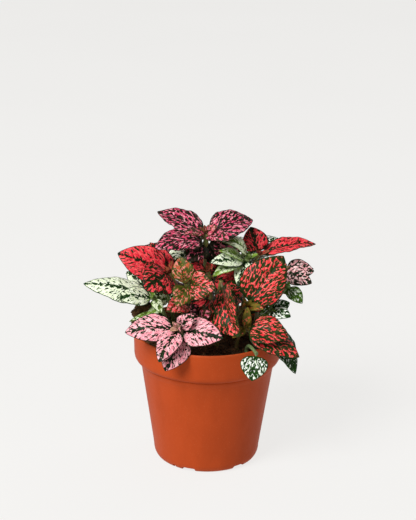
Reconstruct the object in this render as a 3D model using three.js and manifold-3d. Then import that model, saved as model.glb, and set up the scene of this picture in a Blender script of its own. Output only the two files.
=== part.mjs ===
// A polka dot plant (Hypoestes phyllostachya) in a plastic nursery pot: a mixed planting of red, pink and
// white shoots, each one leafy stem that stands in its own hole in the potting soil.
//
// Millimetres, +Z up. The origin is the middle of the pot's foot, on the surface that it stands on, and the
// planting's front faces -Y. Heights in the planting are counted from the plane of the pot's rim.
import * as THREE from "three";
import { mergeVertices } from "three/addons/utils/BufferGeometryUtils.js";
import Module from "manifold-3d";

const wasm = await Module();
wasm.setup();

// ---------------------------------------------------------------- driving dimensions
const POT = {
  height: 96,
  rimRadius: 52.5, // outside of the collar
  bodyRadius: 47.8, // outside of the wall, just under the collar
  footRadius: 34, // flat part of the underside
  collarHeight: 22,
  wall: 1.6,
  sides: 36,
};
const DRAIN = { count: 6, width: 10, height: 2.8, first: -110, slotTurn: -18, slotWidth: 2.4 };
const SOIL = { level: -6, dome: 4, bottom: 2, gap: 0.4, rings: 7, sides: 36 };
const HEAP = { at: [-47, 8], height: 23, spread: 10 }; // soil piled against the rim at the back left
const STEM = {
  radius: 1.4,
  footRadius: 1.6, // the straight end that stands in the soil
  rooted: 12, // length of that end
  holeGap: 0.35,
  budRadius: 2.2,
  sides: 6,
  steps: 6,
};
const LEAF = {
  petiole: 0.11, // share of a leaf's length that is stalk
  stalk: 0.9, // half width of the stalk
  thickness: 0.7,
  fold: 0.3, // rise of the half blades from the midrib
  curl: 0.24, // how far the margins curl back
  wave: 0.05, // waviness of the margin, as a share of the half width
  clearance: 2.4, // air between neighbouring leaves
  rounds: 70, // rounds of leaning apart
  frontTo: 20, // leaves whose tips reach less far back than this are at the planting's front
  frontMass: 5, // how much harder a leaf at the front is to push aside
  start: 0.02, // where the stalk starts, inside the stem
  wide: 18, // blades wider than this have a line between midrib and margin
  small: 12, // blades narrower than this have every second cross line
};
const STATIONS = [LEAF.petiole, 0.22, 0.42, 0.64, 0.86]; // cross lines of a blade
const BACK = {
  rootRadius: 28,
  crownRadius: 36,
  leafLength: 32,
  leafWidth: 18,
  leaves: [
    [1, 72, 1],
    [1, -72, 0.9],
    [0.72, 0, 1],
    [0.42, 52, 1.1],
    [0.42, -52, 1.1],
  ], // place on the stem, turn from the shoot's bearing, size
};

const rimZ = POT.height;
const COLOURS = {
  terracotta: 0xb4532b,
  soil: 0x2a1b14,
  deepPink: 0xd9608c,
  red: 0xd8363f,
  white: 0xe6efd2,
  olive: 0x9a5a35,
  redGreen: 0xa83a3a,
  lightPink: 0xf2a3b4,
  whiteGreen: 0xa9c3a2,
  palePink: 0xcf9ca0,
};

// ---------------------------------------------------------------- the planting
// Each shoot: its colour, where it is rooted (x, y), its crown (x, y, z above the rim), and its leaves as
// [place on the stem from 0 to 1, [tip x, y, z], greatest width, [the way it faces], arch of its midrib], and
// for some a fold of their own.
const SHOOTS = [
  {
    name: "shoot_deep_pink_top",
    colour: "deepPink",
    root: [-3, 5],
    crown: [-2, -4, 72],
    leaves: [
      [0.96, [-37, 14, 81.5], 22.5, [0.1, -0.4, 1], 3],
      [0.93, [-37, -22, 68], 24, [-0.2, -0.6, 1], 3],
      [0.97, [31, 8, 79], 25, [0.1, -0.6, 1], 4],
      [0.97, [14, -24, 74], 12, [0.2, -0.9, 0.8], 2],
      [0.88, [12, 37, 66], 17.5, [0, 0.3, 1], 3],
      [1, [-17, -17, 76], 8, [0, -0.7, 1], 1],
      [1, [5, -13, 80], 7.5, [0, -1, 0.6], 1],
      [0.86, [24, 6, 60], 14, [0, -0.9, 0.8], 2],
      [0.86, [-15, -20, 57], 16, [0, -1, 0.6], 2],
      [0.9, [8, 9, 45], 15, [0, -1, 0.2], 2],
    ],
  },
  {
    name: "shoot_red_left",
    colour: "red",
    root: [-17, -4],
    crown: [-27, -13, 46],
    leaves: [
      [0.95, [-63, -16, 61], 25, [0.1, -1, 0.7], 3],
      [1, [-43, -38, 42.5], 27, [-0.1, -1, 0.4], 3, 0.2],
      [0.88, [-42, 4, 61], 14, [0, -0.7, 1], 2],
      [0.94, [-14, -16, 52], 12, [0, -0.8, 0.8], 2],
    ],
  },
  {
    name: "shoot_white_left",
    colour: "white",
    root: [-29, -6],
    crown: [-38, -15, 28],
    leaves: [
      [0.93, [-87, -16, 39], 21.5, [0, -0.6, 1], 4, 0],
      [1, [-63, -28, 33], 14, [0, -1, 0.8], 2],
      [0.9, [-58, 4, 41], 14.5, [0, -0.8, 0.9], 3],
      [0.98, [-32, -29, 22], 8, [0.2, -1, 0.4], 1],
      [0.7, [-42, -29, 16], 8, [-0.2, -0.8, 0.7], 1],
      [0.55, [-54, -30, 17], 5, [0, -0.6, 1], 1],
    ],
  },
  {
    name: "shoot_white_middle",
    colour: "white",
    root: [-10, 12],
    crown: [-11, 6, 59],
    leaves: [
      [0.98, [-30, -8, 45], 18, [-0.2, -1, 0.5], 3],
      [0.9, [-14, 34, 62], 14, [0, 0.3, 1], 3],
      [0.78, [-36, 26, 44], 15.5, [-0.2, 0.3, 1], 3],
    ],
  },
  {
    name: "shoot_olive_young",
    colour: "olive",
    root: [-12, -21],
    crown: [-15, -31, 45],
    leaves: [
      [1, [-20, -26, 62], 15.5, [-0.1, -1, 0.3], 1],
      [0.97, [5, -43, 46], 20, [0.1, -1, 0.4], 2],
      [0.95, [-21, -45, 33], 15, [0, -1, 0.3], 2],
      [0.62, [-33, -38, 25], 15, [-0.1, -0.9, 0.6], 2],
    ],
  },
  {
    name: "shoot_red_middle",
    colour: "red",
    root: [3, -2],
    crown: [0, -10, 46],
    leaves: [
      [1, [-22, -20, 47], 14, [0, -1, 0.6], 2],
      [0.9, [27, -4, 30], 18, [0.1, -1, 0.5], 2],
      [0.8, [18, 6, 34], 13, [0.2, -0.2, 1], 2],
      [0.5, [20, -2, 18], 14.5, [0.1, -0.8, 0.8], 2],
      [0.5, [-18, 8, 21], 15, [-0.1, -0.7, 0.9], 2],
    ],
  },
  {
    name: "shoot_white_centre",
    colour: "white",
    root: [16, 3],
    crown: [27, -1, 53],
    leaves: [
      [0.98, [-1, -17, 50], 12.5, [0, -0.9, 0.8], 2],
      [0.99, [7, -6, 67], 12, [0.1, -0.5, 1], 7],
      [0.95, [3, -11, 58], 10, [0, -0.6, 1], 2],
      [1, [17, -20, 43], 12.5, [-0.35, -1, 0.35], 1],
      [0.92, [4, -21, 44], 11, [0, -0.3, 1], 2],
    ],
  },
  {
    name: "shoot_red_right",
    colour: "red",
    root: [24, 12],
    crown: [35, 5, 54],
    leaves: [
      [1, [29, 10, 73], 18.5, [0.1, -1, 0.3], 1],
      [0.98, [76, 12, 61], 17, [0, -0.3, 1], 3, 0.4],
      [0.66, [60, 22, 32], 17, [0.3, 0.3, 1], 3],
    ],
  },
  {
    name: "shoot_red_green_right",
    colour: "redGreen",
    root: [17, -12],
    crown: [26, -24, 26],
    leaves: [
      [0.97, [52, -14, 60], 31, [0.05, -1, 0.45], 3, 0.2],
      [1, [29, -33, 35], 6, [0, -1, 0.4], 1],
      [0.98, [35, -36, 28], 6.5, [0.1, -0.8, 0.8], 1],
      [0.7, [44, -8, 20], 12, [0.2, -0.5, 1], 2],
    ],
  },
  {
    name: "shoot_red_green_centre",
    colour: "redGreen",
    root: [5, -11],
    crown: [9, -17, 42],
    leaves: [
      [0.98, [17, -47, 10], 34, [-0.86, -0.52, 0.3], 3, 0.6],
      [0.92, [27, -9, 24], 17.5, [0.3, -1, 0.3], 2],
      [0.3, [6, -46, 6], 9.5, [-0.2, -0.8, 0.8], 2],
    ],
  },
  {
    name: "shoot_light_pink",
    colour: "lightPink",
    root: [-17, -33],
    crown: [-20, -41, 16],
    leaves: [
      [0.96, [-57, -41, 12.5], 21, [0, -0.8, 0.9], 3],
      [1, [-24, -50, 23], 8, [0, -1, 0.6], 1],
      [0.98, [-5, -43, 27], 12, [0.2, -1, 0.6], 2],
      [0.88, [9, -58, 16], 21, [0, -1, 0.7], 2],
      [0.94, [-33, -64, -1], 16.5, [-0.3, -1, 0.6], 2],
      [0.7, [-28, -63, -6], 22, [0.2, -1, 0.4], 3],
    ],
  },
  {
    name: "shoot_shaded_pink",
    colour: "deepPink",
    root: [-4, -22],
    crown: [-5, -26, 20],
    leaves: [
      [1, [-15, -29, 31], 11.5, [-0.2, -1, 0.5], 2],
      [0.9, [6, -33, 26], 9, [0.2, -1, 0.5], 2],
    ],
  },
  {
    name: "shoot_red_low_right",
    colour: "redGreen",
    root: [20, -29],
    crown: [26, -37, 15],
    leaves: [
      [0.98, [55, -46, 12], 23.5, [0, -0.7, 1], 3],
      [0.88, [62, -47, -5], 21, [0.1, -0.6, 1], 3, 0.15],
      [1, [27, -39, 31], 6.5, [0, -1, 0.4], 1],
      [1, [17, -45, 13], 7, [-0.2, -1, 0.6], 2],
    ],
  },
  {
    name: "shoot_white_green_low",
    colour: "whiteGreen",
    root: [27, -33],
    crown: [33, -55, 3.5],
    leaves: [
      [1, [30, -66, -12], 18.5, [-0.1, -1, 0.35], 3],
    ],
  },
  {
    name: "shoot_white_green_right",
    colour: "whiteGreen",
    root: [32, -9],
    crown: [44, -14, 19],
    leaves: [
      [0.95, [59, -22, 16], 12, [0.2, -0.9, 0.8], 2],
      [0.6, [62, -36, -19], 22.5, [0.7, -0.8, 0.6], 4],
      [1, [56, -12, 27], 10, [0, -1, 0.5], 2],
      [0.9, [37, -23, 15], 9, [0, -1, 0.6], 1],
    ],
  },
  {
    name: "shoot_pale_pink_right",
    colour: "palePink",
    root: [34, 8],
    crown: [53, 8, 42],
    leaves: [
      [1, [75, 6, 42], 15, [0, -0.9, 0.7], 2],
      [0.98, [73.5, 0, 33.5], 14, [0, -1, 0.5], 2],
      [1, [76, 13, 44], 9, [0.1, -0.6, 1], 1],
      [0.8, [66, 32, 28], 14.5, [0.3, 0.5, 1], 2],
      [0.6, [66, 18, 22], 14, [0.4, 0, 1], 2],
    ],
  },
  {
    name: "shoot_white_back_left",
    colour: "white",
    root: [-25, 13],
    crown: [-35, 15, 27],
    leaves: [
      [1, [-59, 11, 37], 16, [-0.3, 0, 1], 3],
      [0.97, [-31, 47, 34], 15, [-0.1, 0.4, 1], 3],
      [0.8, [-57, 34, 29], 18, [-0.3, 0.3, 1], 3],
      [0.54, [-30, 54, 12], 19, [-0.1, 0.4, 1], 3],
      [0.46, [-53, 40, 13], 17, [-0.4, 0.2, 1], 3],
    ],
  },
  {
    name: "shoot_white_green_back",
    colour: "whiteGreen",
    root: [21, 18],
    crown: [25, 29, 50],
    leaves: [
      [0.98, [53, 31, 57], 13.5, [0.1, -0.5, 1], 2],
      [1, [9, 52, 54], 16, [0.1, 0.3, 1], 3],
      [0.75, [45, 50, 42], 18, [0.2, 0.3, 1], 3],
      [0.42, [57, 37, 26], 19, [0.3, 0.2, 1], 3],
      [0.42, [24, 60, 24], 19, [0.1, 0.3, 1], 3],
    ],
  },
  {
    name: "shoot_white_green_side",
    colour: "whiteGreen",
    root: [40, -3],
    crown: [54, -6, 33],
    leaves: [
      [1, [66, -10, 23], 11, [0.3, -0.9, 0.7], 3],
      [0.97, [59, -12, 21], 6, [0.1, -1, 0.6], 1],
      [0.9, [66, 2, 26], 9, [0.4, -0.4, 1], 1],
    ],
  },
  backShoot("shoot_pink_back", "deepPink", 117, 45),
  backShoot("shoot_red_back", "red", 78, 38),
];

// A shoot at the back, at a bearing from the pot's axis. Its leaves turn away from the middle of the
// planting: a pair at the crown, one leaf straight out below it, and a larger pair under that.
function backShoot(name, colour, bearing, height) {
  const spot = (degrees, r) => {
    const a = THREE.MathUtils.degToRad(degrees);
    return [r * Math.cos(a), r * Math.sin(a)];
  };
  const crown = spot(bearing, BACK.crownRadius);
  const leaves = BACK.leaves.map(([place, turn, size], i) => {
    const [x, y] = spot(bearing + turn + 16 * (draw(bearing + i) - 0.5), BACK.leafLength * size);
    const tip = [crown[0] + x, crown[1] + y, height * place + 9 * place];
    return [place, tip, BACK.leafWidth * size, [...spot(bearing, 0.35), 1], 3];
  });
  return { name, colour, root: spot(bearing, BACK.rootRadius), crown: [...crown, height], leaves };
}

// A repeatable draw from 0 to 1 for each number.
function draw(n) {
  const s = Math.sin(n * 12.9898) * 43758.5453;
  return s - Math.floor(s);
}

// ---------------------------------------------------------------- small helpers
const vec = (a) => new THREE.Vector3(...a);
const aboveRim = ([x, y, z]) => new THREE.Vector3(x, y, rimZ + z);

// A closed triangle mesh as a solid that can be joined and cut.
function solidOf(geometry) {
  const bare = new THREE.BufferGeometry().setAttribute("position", geometry.getAttribute("position"));
  if (geometry.index) bare.setIndex(geometry.index);
  const merged = mergeVertices(bare, 1e-4);
  return new wasm.Manifold(
    new wasm.Mesh({
      numProp: 3,
      vertProperties: merged.attributes.position.array,
      triVerts: new Uint32Array(merged.index.array),
    }),
  );
}

function indexed(positions, faces) {
  const geometry = new THREE.BufferGeometry();
  geometry.setAttribute("position", new THREE.Float32BufferAttribute(positions, 3));
  geometry.setIndex(faces);
  return geometry;
}

function geometryOf(solid) {
  const mesh = solid.getMesh();
  const geometry = new THREE.BufferGeometry();
  geometry.setAttribute("position", new THREE.BufferAttribute(mesh.vertProperties, 3));
  geometry.setIndex(new THREE.BufferAttribute(mesh.triVerts, 1));
  geometry.computeVertexNormals();
  return geometry;
}

function meshOf(name, solid, colour) {
  const finish = name === "pot" ? { roughness: 0.45 } : { roughness: 0.6 };
  const material = new THREE.MeshStandardMaterial({ color: COLOURS[colour], metalness: 0, ...finish });
  const mesh = new THREE.Mesh(geometryOf(solid), material);
  mesh.name = name;
  return mesh;
}

// A turned solid about Z from a closed profile of [radius, height] points.
function turned(profile, sides) {
  const points = profile.map(([r, z]) => new THREE.Vector2(r, z));
  return solidOf(new THREE.LatheGeometry(points, sides).rotateX(Math.PI / 2));
}

// ---------------------------------------------------------------- soil surface
// Height of the soil over the rim's plane: a low dome, heaped at the back left, and lumpy.
function soilHeight(x, y) {
  const r = Math.hypot(x, y) / POT.rimRadius;
  const [hx, hy] = HEAP.at;
  const heap = HEAP.height * Math.exp(-((x - hx) ** 2 + (y - hy) ** 2) / (2 * HEAP.spread ** 2));
  const lumps =
    0.9 * Math.sin(0.31 * x + 1.3) * Math.cos(0.27 * y - 0.6) + 0.6 * Math.sin(0.61 * x - 0.47 * y + 2.1);
  return SOIL.level + SOIL.dome * (1 - r * r) + heap + lumps;
}

// ---------------------------------------------------------------- stems and leaves
// A stem leaves the soil upright and leans over to its crown.
function stemCurve(shoot) {
  const [x, y] = shoot.root;
  const crown = aboveRim(shoot.crown);
  const foot = new THREE.Vector3(x, y, rimZ + soilHeight(x, y));
  const bend = new THREE.Vector3(x, y, foot.z + Math.max(9, 0.6 * (crown.z - foot.z)));
  return new THREE.QuadraticBezierCurve3(foot, bend, crown);
}

// A leaf from one row of the table: it grows at `node`, its tip is where the row says.
function leafOf(shoot, stem, [place, tip, width, face, arch, fold = LEAF.fold], index) {
  const node = stem.getPoint(place);
  const end = aboveRim(tip);
  return {
    shoot,
    node,
    tip: end,
    length: node.distanceTo(end),
    width,
    face: vec(face).normalize(),
    arch,
    fold,
    mass: node.distanceTo(end) * width * (end.y < LEAF.frontTo ? LEAF.frontMass : 1),
    phase: 6.283 * draw(index + 1),
  };
}

// Outline of the blade: half width at s, from 0 at its base to 1 at its tip, widest at 1.
const outline = (s) => (s ** 0.52 * (1 - s) ** 0.78) / 0.417;

// The leaf's own axes: along its midrib, across it, and out of its upper face.
function axesOf(leaf) {
  const along = leaf.tip.clone().sub(leaf.node).normalize();
  const out = leaf.face.clone().addScaledVector(along, -leaf.face.dot(along)).normalize();
  return { along, out, across: along.clone().cross(out) };
}

// A point of the leaf's middle surface: u runs from the node (0) to the tip (1), v from -1 to 1 across.
function leafPoint(leaf, axes, u, v) {
  const s = Math.max(0, (u - LEAF.petiole) / (1 - LEAF.petiole));
  const half = Math.max((leaf.width / 2) * outline(Math.min(1, s)), u < 1 ? LEAF.stalk : 0);
  const open = Math.min(1, s * 5);
  const ruffle = LEAF.wave * Math.sin(17 * s + leaf.phase + (v > 0 ? 1.9 : 0)) * v * v;
  const lift = half * open * (leaf.fold * Math.abs(v) - LEAF.curl * v * v + ruffle);
  const bow = leaf.arch * 4 * u * (1 - u);
  return leaf.node
    .clone()
    .addScaledVector(axes.along, u * leaf.length)
    .addScaledVector(axes.across, v * half)
    .addScaledVector(axes.out, bow + lift);
}

// ---------------------------------------------------------------- leaves lean clear of each other
const SAMPLES = [];
for (const u of [0.28, 0.4, 0.52, 0.64, 0.76, 0.88, 1]) {
  for (const v of u < 1 ? [-0.9, -0.45, 0, 0.45, 0.9] : [0]) SAMPLES.push([u, v]);
}

// How deep leaf a lies in or too near leaf b, along the mean of their faces, and on which side.
function crowding(a, b) {
  const axis = a.axes.out.clone().add(b.axes.out);
  if (axis.length() < 0.3) return null;
  axis.normalize();
  const near = [];
  let side = 0;
  for (const p of a.cloud) {
    if (a.shoot === b.shoot && p.u < 0.5) continue;
    for (const q of b.cloud) {
      const gap = p.at.clone().sub(q.at);
      const rise = gap.dot(axis);
      const apart = Math.sqrt(Math.max(0, gap.lengthSq() - rise * rise));
      if (apart < LEAF.clearance + 0.6 && Math.abs(rise) < 14) {
        near.push({ rise, u: p.u, w: q.u });
        side += rise;
      }
    }
  }
  if (!near.length) return null;
  side = Math.sign(side) || 1;
  let worst = { depth: 0 };
  for (const n of near) {
    const depth = LEAF.clearance - side * n.rise;
    if (depth > worst.depth) worst = { depth, u: n.u, w: n.w };
  }
  return worst.depth > 0 ? { ...worst, axis: axis.multiplyScalar(side) } : null;
}

// How far a leaf reaches into the soil, the pot's wall or the rim, as a push that frees it.
function potPush(leaf) {
  const push = new THREE.Vector3();
  for (const { at } of leaf.cloud) {
    const r = Math.hypot(at.x, at.y);
    const z = at.z - rimZ;
    const floor = r < POT.rimRadius + 1.5 ? Math.max(1.4, soilHeight(at.x, at.y) + 1.8) : -100;
    const inside = r < POT.rimRadius - 4 ? soilHeight(at.x, at.y) + 1.8 : floor;
    const short = inside - z;
    if (short <= 0) continue;
    const outward = POT.rimRadius + 1.5 - r;
    if (outward < short) {
      push.x += (0.5 * outward * at.x) / r;
      push.y += (0.5 * outward * at.y) / r;
    } else {
      push.z = Math.max(push.z, short);
    }
  }
  return push;
}

// A push that frees a leaf from the stems of the other shoots.
function stemPush(leaf, stems) {
  const push = new THREE.Vector3();
  for (const stem of stems) {
    if (stem.name === leaf.shoot) continue;
    for (const q of stem.points) {
      for (const { at } of leaf.cloud) {
        const away = at.clone().sub(q);
        const short = LEAF.clearance + STEM.radius - away.length();
        if (short > push.length()) push.copy(away.setLength(short));
      }
    }
  }
  return push;
}

function leanApart(leaves, stems) {
  for (let round = 0; round < LEAF.rounds; round++) {
    for (const leaf of leaves) {
      leaf.axes = axesOf(leaf);
      leaf.cloud = SAMPLES.map(([u, v]) => ({ u, at: leafPoint(leaf, leaf.axes, u, v) }));
      leaf.centre = leafPoint(leaf, leaf.axes, 0.55, 0);
      leaf.shift = potPush(leaf).add(stemPush(leaf, stems));
    }
    leaves.forEach((a, i) => {
      for (const b of leaves.slice(i + 1)) {
        if (a.centre.distanceTo(b.centre) > (a.length + b.length) / 2 + 4) continue;
        const crowd = crowding(a, b);
        if (!crowd) continue;
        const share = b.mass / (a.mass + b.mass);
        const give = 0.6 * crowd.depth;
        a.shift.addScaledVector(crowd.axis, (give * share) / Math.max(0.4, crowd.u));
        b.shift.addScaledVector(crowd.axis, (-give * (1 - share)) / Math.max(0.4, crowd.w));
      }
    });
    for (const leaf of leaves) {
      leaf.shift.clampLength(0, 2.5);
      leaf.tip.add(leaf.shift).sub(leaf.node).setLength(leaf.length).add(leaf.node);
    }
  }
}

// ---------------------------------------------------------------- solids of the planting
// A thin arched blade on a square stalk in one closed skin, thickest along the midrib.
function leafSolid(leaf) {
  const axes = axesOf(leaf);
  const lanes = leaf.width > LEAF.wide ? [-1, -0.5, 0, 0.5, 1] : [-1, 0, 1];
  const positions = [];
  const add = (u, v, rise) => {
    const p = leafPoint(leaf, axes, u, v).addScaledVector(axes.out, rise);
    return positions.push(p.x, p.y, p.z) / 3 - 1;
  };
  const rowAt = (u, across, half) => ({
    top: across.map((v) => add(u, v, half(v))),
    under: across.map((v) => add(u, v, -half(v))),
  });
  const stations = STATIONS.filter((_, i) => leaf.width > LEAF.small || i % 2 === 0);
  const rows = stations.map((u) =>
    rowAt(u, lanes, (v) => LEAF.thickness / 2 + (0.5 - 0.4 * u) * (1 - Math.abs(v))),
  );
  const stalk = rowAt(LEAF.start, [-1, 1], () => LEAF.stalk);
  const [tipTop, tipUnder] = [add(1, 0, LEAF.thickness / 2), add(1, 0, -LEAF.thickness / 2)];
  const faces = [];
  const quad = (a, b, c, d) => faces.push(a, b, c, a, c, d);
  const last = lanes.length - 1;
  for (let i = 0; i + 1 < rows.length; i++) {
    const [near, far] = [rows[i], rows[i + 1]];
    for (let j = 0; j < last; j++) {
      quad(near.top[j], near.top[j + 1], far.top[j + 1], far.top[j]);
      quad(near.under[j + 1], near.under[j], far.under[j], far.under[j + 1]);
    }
    quad(near.under[0], near.top[0], far.top[0], far.under[0]);
    quad(near.top[last], near.under[last], far.under[last], far.top[last]);
  }
  const [first, end] = [rows[0], rows[rows.length - 1]];
  for (let j = 0; j < last; j++) {
    faces.push(stalk.top[0], first.top[j + 1], first.top[j]);
    faces.push(stalk.under[0], first.under[j], first.under[j + 1]);
    faces.push(end.top[j], end.top[j + 1], tipTop);
    faces.push(end.under[j + 1], end.under[j], tipUnder);
  }
  faces.push(stalk.top[0], stalk.top[1], first.top[last]);
  faces.push(stalk.under[1], stalk.under[0], first.under[last]);
  quad(stalk.top[1], stalk.top[0], stalk.under[0], stalk.under[1]);
  quad(stalk.under[0], stalk.top[0], first.top[0], first.under[0]);
  quad(stalk.top[1], stalk.under[1], first.under[last], first.top[last]);
  quad(end.under[0], end.top[0], tipTop, tipUnder);
  quad(end.top[last], end.under[last], tipUnder, tipTop);
  return solidOf(indexed(positions, faces));
}

// The stem with the end that stands in the soil, and the bud at its crown.
function stemSolid(stem) {
  const ring = new THREE.Path().absarc(0, 0, STEM.radius, 0, 2 * Math.PI).getPoints(STEM.sides / 2);
  const options = { steps: STEM.steps, extrudePath: stem, bevelEnabled: false };
  const shaft = solidOf(new THREE.ExtrudeGeometry(new THREE.Shape(ring.slice(0, -1)), options));
  const foot = stem.getPoint(0);
  const rooted = new THREE.CylinderGeometry(STEM.footRadius, STEM.footRadius, STEM.rooted + 1, STEM.sides)
    .rotateX(Math.PI / 2)
    .translate(foot.x, foot.y, foot.z + (1 - STEM.rooted) / 2);
  const crown = stem.getPoint(1);
  const bud = new THREE.OctahedronGeometry(STEM.budRadius, 0).translate(crown.x, crown.y, crown.z);
  return wasm.Manifold.union([shaft, solidOf(rooted), solidOf(bud)]);
}

// ---------------------------------------------------------------- pot and soil
function potSolid() {
  const { height, rimRadius, bodyRadius, footRadius, collarHeight, wall, sides } = POT;
  const collar = height - collarHeight;
  const shell = turned(
    [
      [0, 0],
      [footRadius, 0],
      [footRadius + 2, 1.2],
      [footRadius + 3.4, 3.8],
      [footRadius + 4, 7.5],
      [bodyRadius, collar - 0.6],
      [bodyRadius + 2.2, collar + 0.6],
      [rimRadius - 0.3, collar + 4],
      [rimRadius, height - 1.4],
      [rimRadius - 0.5, height],
      [rimRadius - wall, height],
      [rimRadius - wall, collar + 4.3],
      [bodyRadius - wall, collar + 1],
      [footRadius + 4 - wall, 8],
      [footRadius + 1.6 - wall, 3],
      [footRadius - wall, wall],
      [0, wall],
    ],
    sides,
  );
  const notch = (angle, width) => {
    const box = new THREE.BoxGeometry(16, width, 2 * DRAIN.height).translate(footRadius + 4, 0, 0);
    return solidOf(box.rotateZ(THREE.MathUtils.degToRad(angle)));
  };
  const cuts = [];
  for (let i = 0; i < DRAIN.count; i++) {
    const angle = DRAIN.first + (360 / DRAIN.count) * i;
    cuts.push(notch(angle, DRAIN.width));
    if (i % 2 === 0) cuts.push(notch(angle + DRAIN.slotTurn, DRAIN.slotWidth));
  }
  return shell.subtract(wasm.Manifold.union(cuts));
}

// The soil fills the pot: lumpy on top, its sides a little clear of the pot's wall.
function soilSolid(holes) {
  const { sides, rings, gap } = SOIL;
  const collar = POT.height - POT.collarHeight;
  const reach = POT.rimRadius - POT.wall - gap;
  const rows = [];
  for (let i = 1; i <= rings; i++) rows.push([(reach * i) / rings]);
  rows.push([reach, collar + 5]);
  rows.push([POT.bodyRadius - POT.wall - gap - 0.2, collar + 1.4]);
  rows.push([POT.footRadius + 3.4 - POT.wall - gap, 8.6]);
  rows.push([POT.footRadius - POT.wall - gap, SOIL.bottom]);
  const positions = [0, 0, rimZ + soilHeight(0, 0)];
  for (const [r, z] of rows) {
    for (let k = 0; k < sides; k++) {
      const a = (2 * Math.PI * k) / sides;
      const [x, y] = [r * Math.cos(a), r * Math.sin(a)];
      positions.push(x, y, z ?? rimZ + soilHeight(x, y));
    }
  }
  positions.push(0, 0, SOIL.bottom);
  const middle = positions.length / 3 - 1;
  const at = (row, k) => 1 + row * sides + (k % sides);
  const faces = [];
  for (let k = 0; k < sides; k++) {
    faces.push(0, at(0, k), at(0, k + 1));
    faces.push(at(rows.length - 1, k), middle, at(rows.length - 1, k + 1));
    for (let i = 0; i + 1 < rows.length; i++) {
      faces.push(at(i, k), at(i + 1, k), at(i + 1, k + 1));
      faces.push(at(i, k), at(i + 1, k + 1), at(i, k + 1));
    }
  }
  return solidOf(indexed(positions, faces)).subtract(wasm.Manifold.union(holes));
}

// A plain hole in the soil for one stem.
function stemHole(stem) {
  const foot = stem.getPoint(0);
  const radius = STEM.footRadius + STEM.holeGap;
  const deep = STEM.rooted + 0.4;
  const hole = new THREE.CylinderGeometry(radius, radius, deep + 10, STEM.sides)
    .rotateX(Math.PI / 2)
    .translate(foot.x, foot.y, foot.z + 5 - deep / 2);
  return solidOf(hole);
}

// ---------------------------------------------------------------- the object
const stems = SHOOTS.map(stemCurve);
const stemLines = stems.map((stem, i) => ({ name: SHOOTS[i].name, points: stem.getPoints(16) }));
const leaves = SHOOTS.flatMap((shoot, i) =>
  shoot.leaves.map((row, k) => leafOf(shoot.name, stems[i], row, 10 * i + k)),
);
leanApart(leaves, stemLines);

const plant = new THREE.Group();
plant.add(meshOf("pot", potSolid(), "terracotta"));
plant.add(meshOf("soil", soilSolid(stems.map(stemHole)), "soil"));
SHOOTS.forEach((shoot, i) => {
  const blades = leaves.filter((leaf) => leaf.shoot === shoot.name).map(leafSolid);
  const solid = wasm.Manifold.union([stemSolid(stems[i]), ...blades]).simplify(0.04);
  plant.add(meshOf(shoot.name, solid, shoot.colour));
});

export default plant;
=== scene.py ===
# Potted polka dot plant: a thin moulded nursery pot, its potting soil, and twenty-one leafy shoots with
# spotted, veined leaves. Metres, +Z up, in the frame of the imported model. The planting is worked out in
# millimetres, with its heights counted from the plane of the pot's rim, and turned into metres as each mesh
# is made.
import math

import bpy
import numpy as np
from bpy.props import FloatProperty, FloatVectorProperty, IntProperty, PointerProperty
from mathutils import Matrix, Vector, noise


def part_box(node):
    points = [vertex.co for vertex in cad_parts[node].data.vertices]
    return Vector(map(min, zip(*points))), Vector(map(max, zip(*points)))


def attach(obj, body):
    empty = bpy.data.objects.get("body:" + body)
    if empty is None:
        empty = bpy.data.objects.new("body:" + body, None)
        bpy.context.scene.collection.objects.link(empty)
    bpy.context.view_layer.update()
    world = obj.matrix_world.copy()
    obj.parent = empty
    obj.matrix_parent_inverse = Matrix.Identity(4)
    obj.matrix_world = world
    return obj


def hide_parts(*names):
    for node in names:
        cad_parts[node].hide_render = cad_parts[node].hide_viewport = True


bl_info = {
    "name": "Potted polka dot plant",
    "version": (1, 0, 0),
    "blender": (4, 5, 0),
    "location": "3D Viewport > Sidebar > Plant",
    "description": "Makes a potted polka dot plant: the pot, the soil, its leafy shoots and a pale studio",
    "category": "Add Mesh",
}

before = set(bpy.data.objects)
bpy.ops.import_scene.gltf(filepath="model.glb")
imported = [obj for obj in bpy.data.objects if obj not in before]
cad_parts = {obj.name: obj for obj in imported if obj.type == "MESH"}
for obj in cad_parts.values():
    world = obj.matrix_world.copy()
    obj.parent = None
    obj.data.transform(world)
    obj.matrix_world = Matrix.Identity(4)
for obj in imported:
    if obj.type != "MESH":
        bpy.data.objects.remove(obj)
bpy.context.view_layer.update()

MM = 0.001
pot_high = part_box("pot")[1]
RIM = pot_high.z / MM  # height of the pot's rim over its foot
RIM_RADIUS = pot_high.x / MM


def tone(code):
    """A colour written as six hexadecimal digits, as linear light."""
    parts = [int(code[i : i + 2], 16) / 255 for i in (0, 2, 4)]
    return [c / 12.92 if c <= 0.04045 else ((c + 0.055) / 1.055) ** 2.4 for c in parts]


def colour(name, description, code):
    """A colour that a user may change, with its default as six hexadecimal digits."""
    return FloatVectorProperty(
        name=name, description=description, subtype="COLOR", size=3, min=0, max=1, default=tone(code)
    )


def length(name, description, millimetres):
    """A length that a user may change, with its default in millimetres."""
    return FloatProperty(
        name=name, description=description, default=millimetres * MM, min=0, precision=5, unit="LENGTH"
    )


def share(name, description, default):
    """A share from 0 to 1 that a user may change."""
    return FloatProperty(name=name, description=description, default=default, min=0, max=1, subtype="FACTOR")


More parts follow.
